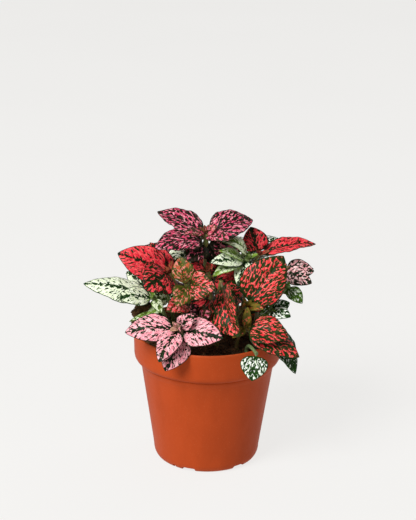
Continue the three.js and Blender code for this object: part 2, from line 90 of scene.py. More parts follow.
# ---------------------------------------------------------------- sizes and colours that a user would change
class PotSettings(bpy.types.PropertyGroup):
    collar: length("Collar", "Height of the deep collar under the rim", 22)
    body: length("Body radius", "Outside of the wall just under the collar", 47.1)
    foot: length("Foot radius", "Flat part of the underside", 34)
    wall: length("Wall", "Thickness of the moulded wall", 1.3)
    notch: length("Notch", "Width of each drainage notch in the foot", 10)
    plastic: colour("Plastic", "Colour of the moulded plastic", "ab431a")
    # this tone is also the painted highlight flecked on the rim and the foot
    dust_and_highlight_tone: colour("Dust", "Colour of the dust and scuffs on the plastic", "bf6a42")


class SoilSettings(bpy.types.PropertyGroup):
    grain: length("Grain", "Size of the lumps in the soil's surface", 3.2)
    crumbs: IntProperty(name="Crumbs", description="Loose crumbs on top", default=900, min=0, max=4000)
    damp: colour("Damp soil", "Colour of the damp, shaded soil", "38230f")
    dry: colour("Dry soil", "Colour of the drier grains", "6a4828")
    fibre: colour("Fibre", "Colour of the pale fibres and grit", "b39a7c")


class LeafSettings(bpy.types.PropertyGroup):
    thickness: length("Thickness", "Thickness of a blade", 0.45)
    quilting: length("Quilting", "How deep the side veins are pressed into the blade", 0.13)
    pitch: length("Mesh pitch", "Distance between the mesh lines of a blade", 0.85)


class StageSettings(bpy.types.PropertyGroup):
    floor: colour("Floor", "Colour of the pale floor", "f3f2f0")
    glow: FloatProperty(name="Glow", description="How far the floor is lit from below", default=0.88, min=0)
    key: FloatProperty(name="Key light", description="Strength of the key light", default=52, unit="POWER")
    fill: FloatProperty(name="Fill", description="Strength of the light from all around", default=0.3, min=0)


def leaf_mix(variety, tones, cover, size, stretch, midrib, veins):
    """The settings of one variety's leaves."""
    spot, spot_pale, ground, young, under = tones.split()
    run = "How far spots run along the veins"
    fields = {
        "spot": colour("Spots", "Main colour of the spots", spot),
        "spot_pale": colour("Pale spots", "Second colour of the spots", spot_pale),
        "ground": colour("Ground", "Colour of the leaf between the spots", ground),
        "young": colour("Young", "Colour of the youngest leaves", young),
        "under": colour("Underside", "Colour of the underside", under),
        "cover": share("Cover", "Share of the blade that the spots cover", cover),
        "size": length("Spot size", "Size of a spot across the side veins", size),
        "stretch": FloatProperty(name="Stretch", description=run, default=stretch, min=0.4),
        "midrib": share("Midrib", "How far the ground colour gathers at the midrib", midrib),
        "veins": share("Veins", "How far the ground colour gathers at the side veins", veins),
    }
    title = variety.title().replace("_", "") + "Leaf"
    return type(title, (bpy.types.PropertyGroup,), {"__annotations__": fields})


# Each variety of leaf: its tones (spots, pale spots, ground, youngest leaves, underside), the share of the
# blade that its spots cover, their size, how far they run along the veins, and how far the ground colour
# gathers at the midrib and at the side veins.
LEAF_MIXES = {
    "deep_pink": ("d8446a ea94a2 17150a 9a6a3c 6d3a36", 0.42, 2.2, 0.85, 0.03, 0.03),
    "red": ("d22736 ee5558 141c08 a35a3a 8a3436", 0.73, 1.9, 0.95, 0.2, 0.1),
    "white": ("ecf4dc e0ecc6 122a0c 98bd45 a6c272", 0.78, 1.8, 0.95, 0.24, 0.14),
    "olive": ("cf3238 e8817f 252b09 6c7524 85603c", 0.42, 1.9, 0.9, 0.06, 0.02),
    "red_green": ("e2323a f86a66 1a290a 8a7426 7a4a38", 0.42, 2.3, 0.8, 0.06, 0.03),
    "light_pink": ("ec8f9c f4b7bd 101d0a e6b394 b06a70", 0.71, 2.2, 0.8, 0.23, 0.17),
    "white_green": ("fafcf6 e4f0d8 133008 7fae34 6f8f4e", 0.44, 1.7, 0.85, 0.1, 0.02),
    "pale_pink": ("f2a8ac fbd9d6 131c0a a0903c 8c6a5a", 0.48, 1.9, 0.95, 0.05, 0.02),
}
SETTINGS = {"pot": PotSettings, "soil": SoilSettings, "leaf": LeafSettings, "stage": StageSettings}
SETTINGS.update({variety: leaf_mix(variety, *mix) for variety, mix in LEAF_MIXES.items()})


def setting(group):
    """The settings of one group, such as the pot's."""
    return getattr(bpy.context.scene, "plant_" + group)


# ---------------------------------------------------------------- the planting
# Each shoot: its variety, where it is rooted (x, y), its crown (x, y, z above the rim), and its leaves as
# (place on the stem from 0 to 1, tip (x, y, z), greatest width, the way it faces, arch of its midrib, and
# how far its halves are folded up where that isn't FOLD).
SHOOTS = {
    "shoot_deep_pink_top": ("deep_pink", (-3, 5), (-2, -4, 72), [
        (0.96, (-37, 14, 81.5), 22.5, (0.1, -0.4, 1), 3),
        (0.93, (-37, -22, 68), 24, (-0.2, -0.6, 1), 3),
        (0.97, (31, 8, 79), 25, (0.1, -0.6, 1), 4),
        (0.97, (14, -24, 74), 12, (0.2, -0.9, 0.8), 2),
        (0.88, (12, 37, 66), 17.5, (0, 0.3, 1), 3),
        (1, (-17, -17, 76), 8, (0, -0.7, 1), 1),
        (1, (5, -13, 80), 7.5, (0, -1, 0.6), 1),
        (0.86, (24, 6, 60), 14, (0, -0.9, 0.8), 2),
        (0.86, (-15, -20, 57), 16, (0, -1, 0.6), 2),
        (0.9, (8, 9, 45), 15, (0, -1, 0.2), 2),
    ]),
    "shoot_red_left": ("red", (-17, -4), (-27, -13, 46), [
        (0.95, (-63, -16, 61), 25, (0.1, -1, 0.7), 3),
        (1, (-43, -38, 42.5), 27, (-0.1, -1, 0.4), 3, 0.2),
        (0.88, (-42, 4, 61), 14, (0, -0.7, 1), 2),
        (0.94, (-14, -16, 52), 12, (0, -0.8, 0.8), 2),
    ]),
    "shoot_white_left": ("white", (-29, -6), (-38, -15, 28), [
        (0.93, (-87, -16, 39), 21.5, (0, -0.6, 1), 4, 0),
        (1, (-63, -28, 33), 14, (0, -1, 0.8), 2),
        (0.9, (-58, 4, 41), 14.5, (0, -0.8, 0.9), 3),
        (0.98, (-32, -29, 22), 8, (0.2, -1, 0.4), 1),
        (0.7, (-42, -29, 16), 8, (-0.2, -0.8, 0.7), 1),
        (0.55, (-54, -30, 17), 5, (0, -0.6, 1), 1),
    ]),
    "shoot_white_middle": ("white", (-10, 12), (-11, 6, 59), [
        (0.98, (-30, -8, 45), 18, (-0.2, -1, 0.5), 3),
        (0.9, (-14, 34, 62), 14, (0, 0.3, 1), 3),
        (0.78, (-36, 26, 44), 15.5, (-0.2, 0.3, 1), 3),
    ]),
    "shoot_olive_young": ("olive", (-12, -21), (-15, -31, 45), [
        (1, (-20, -26, 62), 15.5, (-0.1, -1, 0.3), 1),
        (0.97, (5, -43, 46), 20, (0.1, -1, 0.4), 2),
        (0.95, (-21, -45, 33), 15, (0, -1, 0.3), 2),
        (0.62, (-33, -38, 25), 15, (-0.1, -0.9, 0.6), 2),
    ]),
    "shoot_red_middle": ("red", (3, -2), (0, -10, 46), [
        (1, (-22, -20, 47), 14, (0, -1, 0.6), 2),
        (0.9, (27, -4, 30), 18, (0.1, -1, 0.5), 2),
        (0.8, (18, 6, 34), 13, (0.2, -0.2, 1), 2),
        (0.5, (20, -2, 18), 14.5, (0.1, -0.8, 0.8), 2),
        (0.5, (-18, 8, 21), 15, (-0.1, -0.7, 0.9), 2),
    ]),
    "shoot_white_centre": ("white", (16, 3), (27, -1, 53), [
        (0.98, (-1, -17, 50), 12.5, (0, -0.9, 0.8), 2),
        (0.99, (7, -6, 67), 12, (0.1, -0.5, 1), 7),
        (0.95, (3, -11, 58), 10, (0, -0.6, 1), 2),
        (1, (17, -20, 43), 12.5, (-0.35, -1, 0.35), 1),
        (0.92, (4, -21, 44), 11, (0, -0.3, 1), 2),
    ]),
    "shoot_red_right": ("red", (24, 12), (35, 5, 54), [
        (1, (29, 10, 73), 18.5, (0.1, -1, 0.3), 1),
        (0.98, (76, 12, 61), 17, (0, -0.3, 1), 3, 0.4),
        (0.66, (60, 22, 32), 17, (0.3, 0.3, 1), 3),
    ]),
    "shoot_red_green_right": ("red_green", (17, -12), (26, -24, 26), [
        (0.97, (52, -14, 60), 31, (0.05, -1, 0.45), 3, 0.2),
        (1, (29, -33, 35), 6, (0, -1, 0.4), 1),
        (0.98, (35, -36, 28), 6.5, (0.1, -0.8, 0.8), 1),
        (0.7, (44, -8, 20), 12, (0.2, -0.5, 1), 2),
    ]),
    "shoot_red_green_centre": ("red_green", (5, -11), (9, -17, 42), [
        (0.98, (17, -47, 10), 34, (-0.86, -0.52, 0.3), 3, 0.6),
        (0.92, (27, -9, 24), 17.5, (0.3, -1, 0.3), 2),
        (0.3, (6, -46, 6), 9.5, (-0.2, -0.8, 0.8), 2),
    ]),
    "shoot_light_pink": ("light_pink", (-17, -33), (-20, -41, 16), [
        (0.96, (-57, -41, 12.5), 21, (0, -0.8, 0.9), 3),
        (1, (-24, -50, 23), 8, (0, -1, 0.6), 1),
        (0.98, (-5, -43, 27), 12, (0.2, -1, 0.6), 2),
        (0.88, (9, -58, 16), 21, (0, -1, 0.7), 2),
        (0.94, (-33, -64, -1), 16.5, (-0.3, -1, 0.6), 2),
        (0.7, (-28, -63, -6), 22, (0.2, -1, 0.4), 3),
    ]),
    "shoot_shaded_pink": ("deep_pink", (-4, -22), (-5, -26, 20), [
        (1, (-15, -29, 31), 11.5, (-0.2, -1, 0.5), 2),
        (0.9, (6, -33, 26), 9, (0.2, -1, 0.5), 2),
    ]),
    "shoot_red_low_right": ("red_green", (20, -29), (26, -37, 15), [
        (0.98, (55, -46, 12), 23.5, (0, -0.7, 1), 3),
        (0.88, (62, -47, -5), 21, (0.1, -0.6, 1), 3, 0.15),
        (1, (27, -39, 31), 6.5, (0, -1, 0.4), 1),
        (1, (17, -45, 13), 7, (-0.2, -1, 0.6), 2),
    ]),
    "shoot_white_green_low": ("white_green", (27, -33), (33, -55, 3.5), [
        (1, (30, -66, -12), 18.5, (-0.1, -1, 0.35), 3),
    ]),
    "shoot_white_green_right": ("white_green", (32, -9), (44, -14, 19), [
        (0.95, (59, -22, 16), 12, (0.2, -0.9, 0.8), 2),
        (0.6, (62, -36, -19), 22.5, (0.7, -0.8, 0.6), 4),
        (1, (56, -12, 27), 10, (0, -1, 0.5), 2),
        (0.9, (37, -23, 15), 9, (0, -1, 0.6), 1),
    ]),
    "shoot_pale_pink_right": ("pale_pink", (34, 8), (53, 8, 42), [
        (1, (75, 6, 42), 15, (0, -0.9, 0.7), 2),
        (0.98, (73.5, 0, 33.5), 14, (0, -1, 0.5), 2),
        (1, (76, 13, 44), 9, (0.1, -0.6, 1), 1),
        (0.8, (66, 32, 28), 14.5, (0.3, 0.5, 1), 2),
        (0.6, (66, 18, 22), 14, (0.4, 0, 1), 2),
    ]),
    "shoot_white_back_left": ("white", (-25, 13), (-35, 15, 27), [
        (1, (-59, 11, 37), 16, (-0.3, 0, 1), 3),
        (0.97, (-31, 47, 34), 15, (-0.1, 0.4, 1), 3),
        (0.8, (-57, 34, 29), 18, (-0.3, 0.3, 1), 3),
        (0.54, (-30, 54, 12), 19, (-0.1, 0.4, 1), 3),
        (0.46, (-53, 40, 13), 17, (-0.4, 0.2, 1), 3),
    ]),
    "shoot_white_green_back": ("white_green", (21, 18), (25, 29, 50), [
        (0.98, (53, 31, 57), 13.5, (0.1, -0.5, 1), 2),
        (1, (9, 52, 54), 16, (0.1, 0.3, 1), 3),
        (0.75, (45, 50, 42), 18, (0.2, 0.3, 1), 3),
        (0.42, (57, 37, 26), 19, (0.3, 0.2, 1), 3),
        (0.42, (24, 60, 24), 19, (0.1, 0.3, 1), 3),
    ]),
    "shoot_white_green_side": ("white_green", (40, -3), (54, -6, 33), [
        (1, (66, -10, 23), 11, (0.3, -0.9, 0.7), 3),
        (0.97, (59, -12, 21), 6, (0.1, -1, 0.6), 1),
        (0.9, (66, 2, 26), 9, (0.4, -0.4, 1), 1),
    ]),
}
BACK_SHOOTS = [  # name, variety, bearing from the pot's axis, height of the crown
    ("shoot_pink_back", "deep_pink", 117, 45),
    ("shoot_red_back", "red", 78, 38),
]
BACK_ROOT, BACK_CROWN = 28, 36  # how far from the pot's axis these are rooted, and have their crowns
BACK_LEAF = (32, 18)  # length and width of their leaves
BACK_LEAVES = [  # each one's place on the stem, its bearing from the shoot's own, and its size
    (1, 72, 1),
    (1, -72, 0.9),
    (0.72, 0, 1),
    (0.42, 52, 1.1),
    (0.42, -52, 1.1),
]
BARE_TIPS = ("shoot_white_green_low", "shoot_red_green_centre", "shoot_shaded_pink")  # without crown leaves
INNER_LEAVES = {  # small leaves inside the planting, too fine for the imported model
    "shoot_red_back": [
        (0.8, (-11, 28, 44), 16, (0, -1, 0.3), 2),
        (0.32, (-9, 28, 13), 16, (0, -1, 0.3), 2),
    ],
    "shoot_white_back_left": [(0.6, (-38, 9, 17), 9, (0, -1, 0.4), 1)],
    "shoot_white_green_side": [(0.5, (33, -2, 20), 8, (0, -1, 0.5), 1)],
}
# Leaves of a shoot that are unlike the rest: how much fuller their spots are, and how young they look. The
# deep pink top's two inner leaves get fewer spots, which darkens them as painted shade.
TINGE = {
    "shoot_red_left": {1: (-0.32, 0)},
    "shoot_red_right": {0: (-0.15, 0)},
    "shoot_olive_young": {0: (0, 0.5), 1: (0.05, 0.05), 2: (-0.1, 0.45), 3: (0.15, 0)},
    # leaves 8 and 9, counted from 0, sit inside the planting under the top; their fewer spots are painted
    # shade
    "shoot_deep_pink_top": {3: (0.06, 0.1), 6: (0.3, 0.2), 8: (-0.2, 0), 9: (-0.3, 0)},
    "shoot_red_low_right": {2: (-0.1, 0.9), 3: (-0.1, 0.9)},
    "shoot_red_green_right": {1: (-0.1, 0.9), 2: (-0.1, 0.9)},
    "shoot_white_green_right": {1: (-0.25, 0), 3: (0, 0.8)},
    "shoot_white_green_side": {0: (-0.1, 0.35), 1: (-0.1, 0.9), 2: (0, 0.6)},
    "shoot_white_centre": {1: (0, 0.35), 2: (0, 0.8), 4: (0, 0.7)},
    "shoot_white_left": {3: (0, 0.4), 4: (0, 0.7), 5: (0, 0.7)},
}
SMALL_LEAF = 10  # a leaf narrower than this is young, and looks it

PETIOLE = 0.11  # share of a leaf's length that is stalk
BLADE_END = 0.985  # where the fine blade ends, just short of the tip in the plan
STALK = 0.9  # half width of the plan along the stalk
PLAN_BASE, PLAN_TIP, PLAN_FULL = 0.52, 0.78, 0.417  # how the plan's width swells and tapers, and its greatest
FOLD = 0.3  # rise of the half blades from the midrib
CURL = 0.24  # how far the margins curl back
WAVE, WAVES, WAVE_LAG = 0.05, 17, 1.9  # the margins' waves: depth, how close, and how far one margin lags
FRONT, FRONT_MASS = 20, 5  # leaves whose tips are in front of this y give way this much less
STEM_RADIUS = 1.4  # of a stem at the soil
ROOTED = 12  # how deep the stems go into the soil

POT_RADIUS = 52.5  # what the leaves keep clear of
LIP = 4  # how far in from there they still keep over the rim
LIP_AIR, POT_AIR, SOIL_AIR = 1.4, 1.5, 1.8  # air over the rim, beside the pot and over the soil
CLEARANCE = 2.4  # air between neighbouring leaves
BESIDE = 0.6  # how much farther to the side a leaf still counts as over another
OVERHEAD = 14  # leaves farther over each other than this don't meet
ROUNDS = 70  # steps in which the leaves lean apart
GIVE, LONGEST_STEP = 0.6, 2.5  # share of a meeting that a step resolves, and how far a tip moves in one
SHORTEST_LEVER = 0.4  # a leaf that is met nearer to its base than this share of it turns no farther

SOIL_DROP, SOIL_DOME = 6, 4  # how far the soil lies under the rim, and how far its middle is over its edge
HEAP = (-47, 8)  # where the soil is heaped
HEAP_HEIGHT, HEAP_SPREAD = 23, 10  # how high it is heaped there, and how far that reaches
CLODS = 160  # larger clods in the heap
CLOD_BEARINGS = (150, 205)  # from where to where round the rim they lie
CLOD_TOP = 13  # how high over the rim they are piled at most


def draw(n):
    """A repeatable draw from 0 to 1 for each number."""
    s = math.sin(n * 12.9898) * 43758.5453
    return s - math.floor(s)


def spot(degrees, r):
    """The place at a bearing and a distance from the pot's axis."""
    a = math.radians(degrees)
    return r * math.cos(a), r * math.sin(a)


def back_shoot(variety, bearing, height):
    """A shoot at the back, whose leaves turn away from the middle of the planting."""
    crown = spot(bearing, BACK_CROWN)
    long, wide = BACK_LEAF
    leaves = []
    for i, (place, turn, size) in enumerate(BACK_LEAVES):
        x, y = spot(bearing + turn + 16 * (draw(bearing + i) - 0.5), long * size)
        tip = (crown[0] + x, crown[1] + y, height * place + 9 * place)
        leaves.append((place, tip, wide * size, (*spot(bearing, 0.35), 1), 3))
    return variety, spot(bearing, BACK_ROOT), (*crown, height), leaves


def soil_height(x, y):
    """Height of the soil over the rim's plane: a low dome, heaped at the back left, and lumpy."""
    r = np.hypot(x, y) / POT_RADIUS
    heap = HEAP_HEIGHT * np.exp(-((x - HEAP[0]) ** 2 + (y - HEAP[1]) ** 2) / (2 * HEAP_SPREAD**2))
    lumps = 0.9 * np.sin(0.31 * x + 1.3) * np.cos(0.27 * y - 0.6) + 0.6 * np.sin(0.61 * x - 0.47 * y + 2.1)
    return -SOIL_DROP + SOIL_DOME * (1 - r * r) + heap + lumps


def unit(v):
    """The direction of v, with a length of 1."""
    v = np.asarray(v, float)
    return v / np.linalg.norm(v)


class Stem:
    """A stem leaves the soil upright and leans over to its crown."""

    def __init__(self, root, crown):
        x, y = root
        self.foot = np.array([x, y, RIM + soil_height(x, y)])
        self.crown = np.array([crown[0], crown[1], RIM + crown[2]], float)
        self.bend = np.array([x, y, self.foot[2] + max(9, 0.6 * (self.crown[2] - self.foot[2]))])

    def at(self, t):
        t = np.asarray(t, float)[..., None]
        return (1 - t) ** 2 * self.foot + 2 * t * (1 - t) * self.bend + t * t * self.crown


class Leaf:
    """One leaf: it grows at node, and its tip is where the planting says."""

    def __init__(self, shoot, stem, row, index):
        place, tip, width, face, arch, fold = (*row, FOLD)[:6]
        self.shoot, self.place, self.width, self.arch = shoot, place, width, arch
        self.node = stem.at(place)
        self.tip = np.array([tip[0], tip[1], RIM + tip[2]], float)
        self.length = np.linalg.norm(self.tip - self.node)
        self.face = unit(face)
        self.mass = self.length * width * (FRONT_MASS if tip[1] < FRONT else 1)
        self.phase, self.seed = 6.283 * draw(index + 1), draw(index + 31)
        self.fold, self.curl = fold, CURL

    def axes(self):
        along = unit(self.tip - self.node)
        out = unit(self.face - along * self.face.dot(along))
        return along, np.cross(along, out), out

    def lay(self, u, w, rise):
        """Points at the share u of the leaf's length, w to its side and rise out of it."""
        along, across, out = self.axes()
        return (
            self.node
            + (u * self.length)[..., None] * along
            + w[..., None] * across
            + rise[..., None] * out
        )

    def waves(self, s, v):
        """The waves of the margins."""
        return WAVE * np.sin(WAVES * s + self.phase + np.where(v > 0, WAVE_LAG, 0)) * v * v

    def point(self, u, v):
        """Points of the leaf's plain middle surface."""
        s = np.clip((u - PETIOLE) / (1 - PETIOLE), 0, 1)
        plan = self.width / 2 * s**PLAN_BASE * (1 - s) ** PLAN_TIP / PLAN_FULL
        half = np.maximum(plan, np.where(u < 1, STALK, 0))
        lift = half * np.minimum(1, s * 5) * (self.fold * np.abs(v) - CURL * v * v + self.waves(s, v))
        return self.lay(u, v * half, self.arch * 4 * u * (1 - u) + lift)


PLACES = np.array(
    [
        (u, v)
        for u in (0.28, 0.4, 0.52, 0.64, 0.76, 0.88, 1)
        for v in (-0.9, -0.45, 0, 0.45, 0.9)
        if u < 1 or v == 0
    ]
).T  # where each blade is felt: along it, and across it


def pot_push(leaf):
    """The push that frees a leaf from the soil, the pot's wall and the rim."""
    x, y = leaf.cloud[:, 0], leaf.cloud[:, 1]
    z = leaf.cloud[:, 2] - RIM
    r = np.hypot(x, y)
    ground = soil_height(x, y) + SOIL_AIR
    outward = POT_RADIUS + POT_AIR - r
    floor = np.where(outward > 0, np.maximum(LIP_AIR, ground), -100)
    short = np.where(r < POT_RADIUS - LIP, ground, floor) - z
    out = (short > 0) & (outward < short)
    up = (short > 0) & ~out
    return np.array(
        [
            (0.5 * outward * x / r)[out].sum(),
            (0.5 * outward * y / r)[out].sum(),
            max(0, short[up].max()) if up.any() else 0,
        ]
    )


def stem_push(leaf, lines):
    """The push that frees a leaf from the stems of the other shoots."""
    points = np.concatenate([line for shoot, line in lines.items() if shoot != leaf.shoot])
    away = leaf.cloud[None] - points[:, None]
    apart = np.linalg.norm(away, axis=2)
    i, j = np.unravel_index(np.argmin(apart), apart.shape)
    short = CLEARANCE + STEM_RADIUS - apart[i, j]
    return away[i, j] / apart[i, j] * short if short > 0 else np.zeros(3)


def crowding(a, b, clouds, outs, same):
    """For pairs of leaves a, b: how deep each a lies in or too near its b, and along which line."""
    axis = outs[a] + outs[b]
    size = np.linalg.norm(axis, axis=1)
    axis = axis / np.maximum(size, 1e-9)[:, None]
    gap = clouds[a][:, :, None] - clouds[b][:, None]
    rise = np.einsum("pijk,pk->pij", gap, axis)
    apart = np.maximum(0, np.einsum("pijk,pijk->pij", gap, gap) - rise**2)
    near = (apart < (CLEARANCE + BESIDE) ** 2) & (np.abs(rise) < OVERHEAD) & (size >= 0.3)[:, None, None]
    near &= ~(same[:, None, None] & (PLACES[0] < 0.5)[None, :, None])
    side = np.where(np.where(near, rise, 0).sum((1, 2)) >= 0, 1.0, -1.0)
    depth = np.where(near, CLEARANCE - side[:, None, None] * rise, 0).reshape(len(a), -1)
    worst = depth.argmax(1)
    at_a, at_b = PLACES[0][worst // PLACES.shape[1]], PLACES[0][worst % PLACES.shape[1]]
    return np.maximum(0, depth[np.arange(len(a)), worst]), axis * side[:, None], at_a, at_b


def lean_apart(leaves, lines):
    """Leaves lean clear of each other, of the stems and of the pot, as they do while they grow."""
    lengths = np.array([leaf.length for leaf in leaves])
    masses = np.array([leaf.mass for leaf in leaves])
    shoots = np.array([leaf.shoot for leaf in leaves])
    first, second = np.triu_indices(len(leaves), 1)
    for _ in range(ROUNDS):
        for leaf in leaves:
            leaf.cloud = leaf.point(*PLACES)
        centres = np.stack([leaf.point(np.array([0.55]), np.array([0.0]))[0] for leaf in leaves])
        shift = np.stack([pot_push(leaf) + stem_push(leaf, lines) for leaf in leaves])
        reach = (lengths[first] + lengths[second]) / 2 + 4
        close = np.linalg.norm(centres[first] - centres[second], axis=1) <= reach
        a, b = first[close], second[close]
        clouds = np.stack([leaf.cloud for leaf in leaves])
        outs = np.stack([leaf.axes()[2] for leaf in leaves])
        depth, axis, at_a, at_b = crowding(a, b, clouds, outs, shoots[a] == shoots[b])
        give = (GIVE * depth / (masses[a] + masses[b]))[:, None] * axis
        np.add.at(shift, a, give * (masses[b] / np.maximum(SHORTEST_LEVER, at_a))[:, None])
        np.add.at(shift, b, -give * (masses[a] / np.maximum(SHORTEST_LEVER, at_b))[:, None])
        far = np.linalg.norm(shift, axis=1)
        shift *= (np.minimum(far, LONGEST_STEP) / np.maximum(far, 1e-12))[:, None]
        for leaf, lean in zip(leaves, shift):
            leaf.tip = leaf.node + unit(leaf.tip + lean - leaf.node) * leaf.length


def grow():
    """All shoots, with their leaves where they have come to rest."""
    rows = dict(SHOOTS)
    for name, *shoot in BACK_SHOOTS:
        rows[name] = back_shoot(*shoot)
    stems = {name: Stem(root, crown) for name, (_, root, crown, _) in rows.items()}
    lines = {name: stem.at(np.linspace(0, 1, 17)) for name, stem in stems.items()}
    leaves = [
        Leaf(name, stems[name], row, 10 * i + k)
        for i, (name, shoot) in enumerate(rows.items())
        for k, row in enumerate(shoot[3])
    ]
    lean_apart(leaves, lines)
    for i, (name, inner) in enumerate(INNER_LEAVES.items()):
        leaves += [Leaf(name, stems[name], row, 500 + 10 * i + k) for k, row in enumerate(inner)]
    return {
        name: (shoot[0], stems[name], [leaf for leaf in leaves if leaf.shoot == name])
        for name, shoot in rows.items()
    }


planting = grow()


# ---------------------------------------------------------------- making meshes
class Form:
    """The points and faces of one piece, gathered part by part, with what its finishes need to know."""

    MARKS = {"vein": 3, "blade": 3, "leaf": 3, "rib": 1}

    def __init__(self):
        self.points, self.faces, self.finish, self.count = [], [], [], 0
        self.marks = {mark: [] for mark in self.MARKS}

    def add(self, points, faces, finish=0, **marks):
        """Adds points in millimetres, and faces that count from the first of them."""
        points = np.asarray(points, float).reshape(-1, 3)
        self.points.append(points)
        self.faces += [[int(k) + self.count for k in face] for face in faces]
        self.finish += [finish] * len(faces)
        self.count += len(points)
        for mark, size in self.MARKS.items():
            value, given = np.zeros((len(points), size)), marks.get(mark, 0.0)
            value[:] = np.reshape(given, (-1, size) if np.size(given) > 1 else 1)
            self.marks[mark].append(value)

    def piece(self, name, node, slot, *finishes):
        """The piece, in its place on the plant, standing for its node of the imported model."""
        mesh = bpy.data.meshes.new(name)
        mesh.from_pydata(np.concatenate(self.points) * MM, [], self.faces)
        for material in finishes:
            mesh.materials.append(material)
        mesh.polygons.foreach_set("material_index", self.finish)
        for mark, size in self.MARKS.items():
            kind, field = ("FLOAT_VECTOR", "vector") if size == 3 else ("FLOAT", "value")
            values = np.concatenate(self.marks[mark]).astype(np.float32).ravel()
            mesh.attributes.new(mark, kind, "POINT").data.foreach_set(field, values)
        mesh.shade_smooth()
        mesh.validate()
        piece = placed(name, mesh)
        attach(piece, "root")
        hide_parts(node)
        return piece


def placed(name, data):
    """A new object in the scene, from a mesh, a light or a camera."""
    thing = bpy.data.objects.new(name, data)
    bpy.context.scene.collection.objects.link(thing)
    return thing


def grid(rows, columns, wrap=False):
    """The faces between rows of points, in turn; wrap joins the last column to the first."""
    faces = []
    for i in range(rows - 1):
        for j in range(columns if wrap else columns - 1):
            k = (j + 1) % columns
            a, b = i * columns, (i + 1) * columns
            faces.append((a + j, a + k, b + k, b + j))
    return faces


def closed_rings(rows, sides):
    """The faces of a closed skin: rings of points in turn, then the middle points of its two ends."""
    count = rows * sides
    faces = grid(rows, sides, wrap=True)
    faces += [(count, (k + 1) % sides, k) for k in range(sides)]
    faces += [(count + 1, count - sides + k, count - sides + (k + 1) % sides) for k in range(sides)]
    return faces


def full_turn(sides):
    """The bearings of so many sides, in radians."""
    return np.linspace(0, 2 * math.pi, sides, endpoint=False)


def tube(form, path, radii, sides, finish=0, flat=1.0, up=(0, 0, 1), **marks):
    """A closed round tube along a path; flat squeezes it along up."""
    path, radii = np.asarray(path, float), np.asarray(radii, float)
    along = np.gradient(path, axis=0)
    along /= np.linalg.norm(along, axis=1)[:, None]
    side = np.cross(along, np.asarray(up, float))
    weak = np.linalg.norm(side, axis=1) < 0.2
    side[weak] = np.cross(along[weak], (0, 1, 0.1))
    side /= np.linalg.norm(side, axis=1)[:, None]
    lift = np.cross(side, along)
    turn = full_turn(sides)
    rings = (
        path[:, None]
        + radii[:, None, None] * np.cos(turn)[None, :, None] * side[:, None]
        + radii[:, None, None] * flat * np.sin(turn)[None, :, None] * lift[:, None]
    )
    points = np.concatenate([rings.reshape(-1, 3), path[:1], path[-1:]])
    far = np.concatenate([[0], np.cumsum(np.linalg.norm(np.diff(path, axis=0), axis=1))])
    round_it = np.tile(turn * radii.mean(), len(path))
    vein = np.stack([round_it, np.repeat(far, sides), np.full(len(round_it), path[0, 0])], 1)
    marks["vein"] = np.concatenate([vein, vein[:1], vein[-1:]])
    form.add(points, closed_rings(len(path), sides), finish, **marks)


# ---------------------------------------------------------------- leaves
BASE_POWER, TIP_POWER = 0.5, 0.84  # how a blade swells from its base and tapers to its tip
WIDEST = BASE_POWER / (BASE_POWER + TIP_POWER)
FULL = WIDEST**BASE_POWER * (1 - WIDEST) ** TIP_POWER
BLADE_ROWS, HALF_COLUMNS = (12, 46), (4, 16)  # fewest and most mesh lines along a blade and across its half
VEIN_GAP, VEIN_GAPS = 0.125, (2.0, 5.5)  # gap between side veins for each mm of leaf, and its least and most
GROWN = 7  # half width from which a blade is fully quilted
RIB_STEPS, RIB_SIDES, RIB_END = 22, 8, 0.96  # mesh of the midrib, and where along the leaf it runs out
STEM_STEPS, ROOT_STEPS, STEM_SIDES = 48, 6, 12  # mesh of a stem over the soil, in it, and round
CROWN_PAIRS = [(8.2, 0.95), (5.8, 0.6), (3.6, 0.25)]  # length and spread of the pairs at a growing tip
CROWN_WIDTH = 0.52  # their width as a share of their length


def ease(value, low, high):
    """From 0 at low to 1 at high, smoothly."""
    t = np.clip((value - low) / (high - low), 0, 1)
    return t * t * (3 - 2 * t)


def plate_faces(rows, columns):
    """The faces of a thin plate: its top, its underside, and the band round its edge."""
    n, m = rows + 1, columns + 1
    total = n * m
    faces = grid(n, m)
    faces += [tuple(total + k for k in reversed(face)) for face in grid(n, m)]
    for i in range(rows):
        a, b = i * m, (i + 1) * m
        faces.append((total + a, a, b, total + b))
        faces.append((a + m - 1, total + a + m - 1, total + b + m - 1, b + m - 1))
    for j in range(columns):
        e = rows * m + j
        faces.append((total + j + 1, j + 1, j, total + j))
        faces.append((total + e, e, e + 1, total + e + 1))
    return faces


def blade_share(s):
    """The share of the whole leaf's length at the share s of its blade's."""
    return PETIOLE + (BLADE_END - PETIOLE) * s


def relief(leaf, s, v, half, rib):
    """How far a blade stands off its plan: folded, curled and waved, quilted by its veins, and drooping."""
    w = v * half
    grown = min(1, leaf.width / 2 / GROWN)
    pressed = (0.5 + 0.5 * np.cos(2 * math.pi * rib)) ** 2
    depth = setting("leaf").quilting / MM * grown
    quilt = depth * (0.45 - pressed) * ease(np.abs(w), 0.2, 2.0) * (1 - 0.8 * v**4)
    groove = -0.4 * grown * np.exp(-((w / 0.8) ** 2)) * (1 - s)
    crimp = 0.022 * np.sin(43 * s + 2 * leaf.phase + np.where(v > 0, 2.6, 0.4)) * v**4
    margin = leaf.fold * np.abs(v) - leaf.curl * v * v + leaf.waves(s, v) + crimp
    lift = half * np.minimum(1, s * 5) * margin
    turn = 0.16 * (leaf.seed - 0.5) * s * w
    droop = -0.03 * leaf.length * ease(s, 0.55, 1.0) ** 2
    u = blade_share(s)
    bow = leaf.arch * 4 * u * (1 - u)
    return bow + lift + quilt + groove + turn + droop


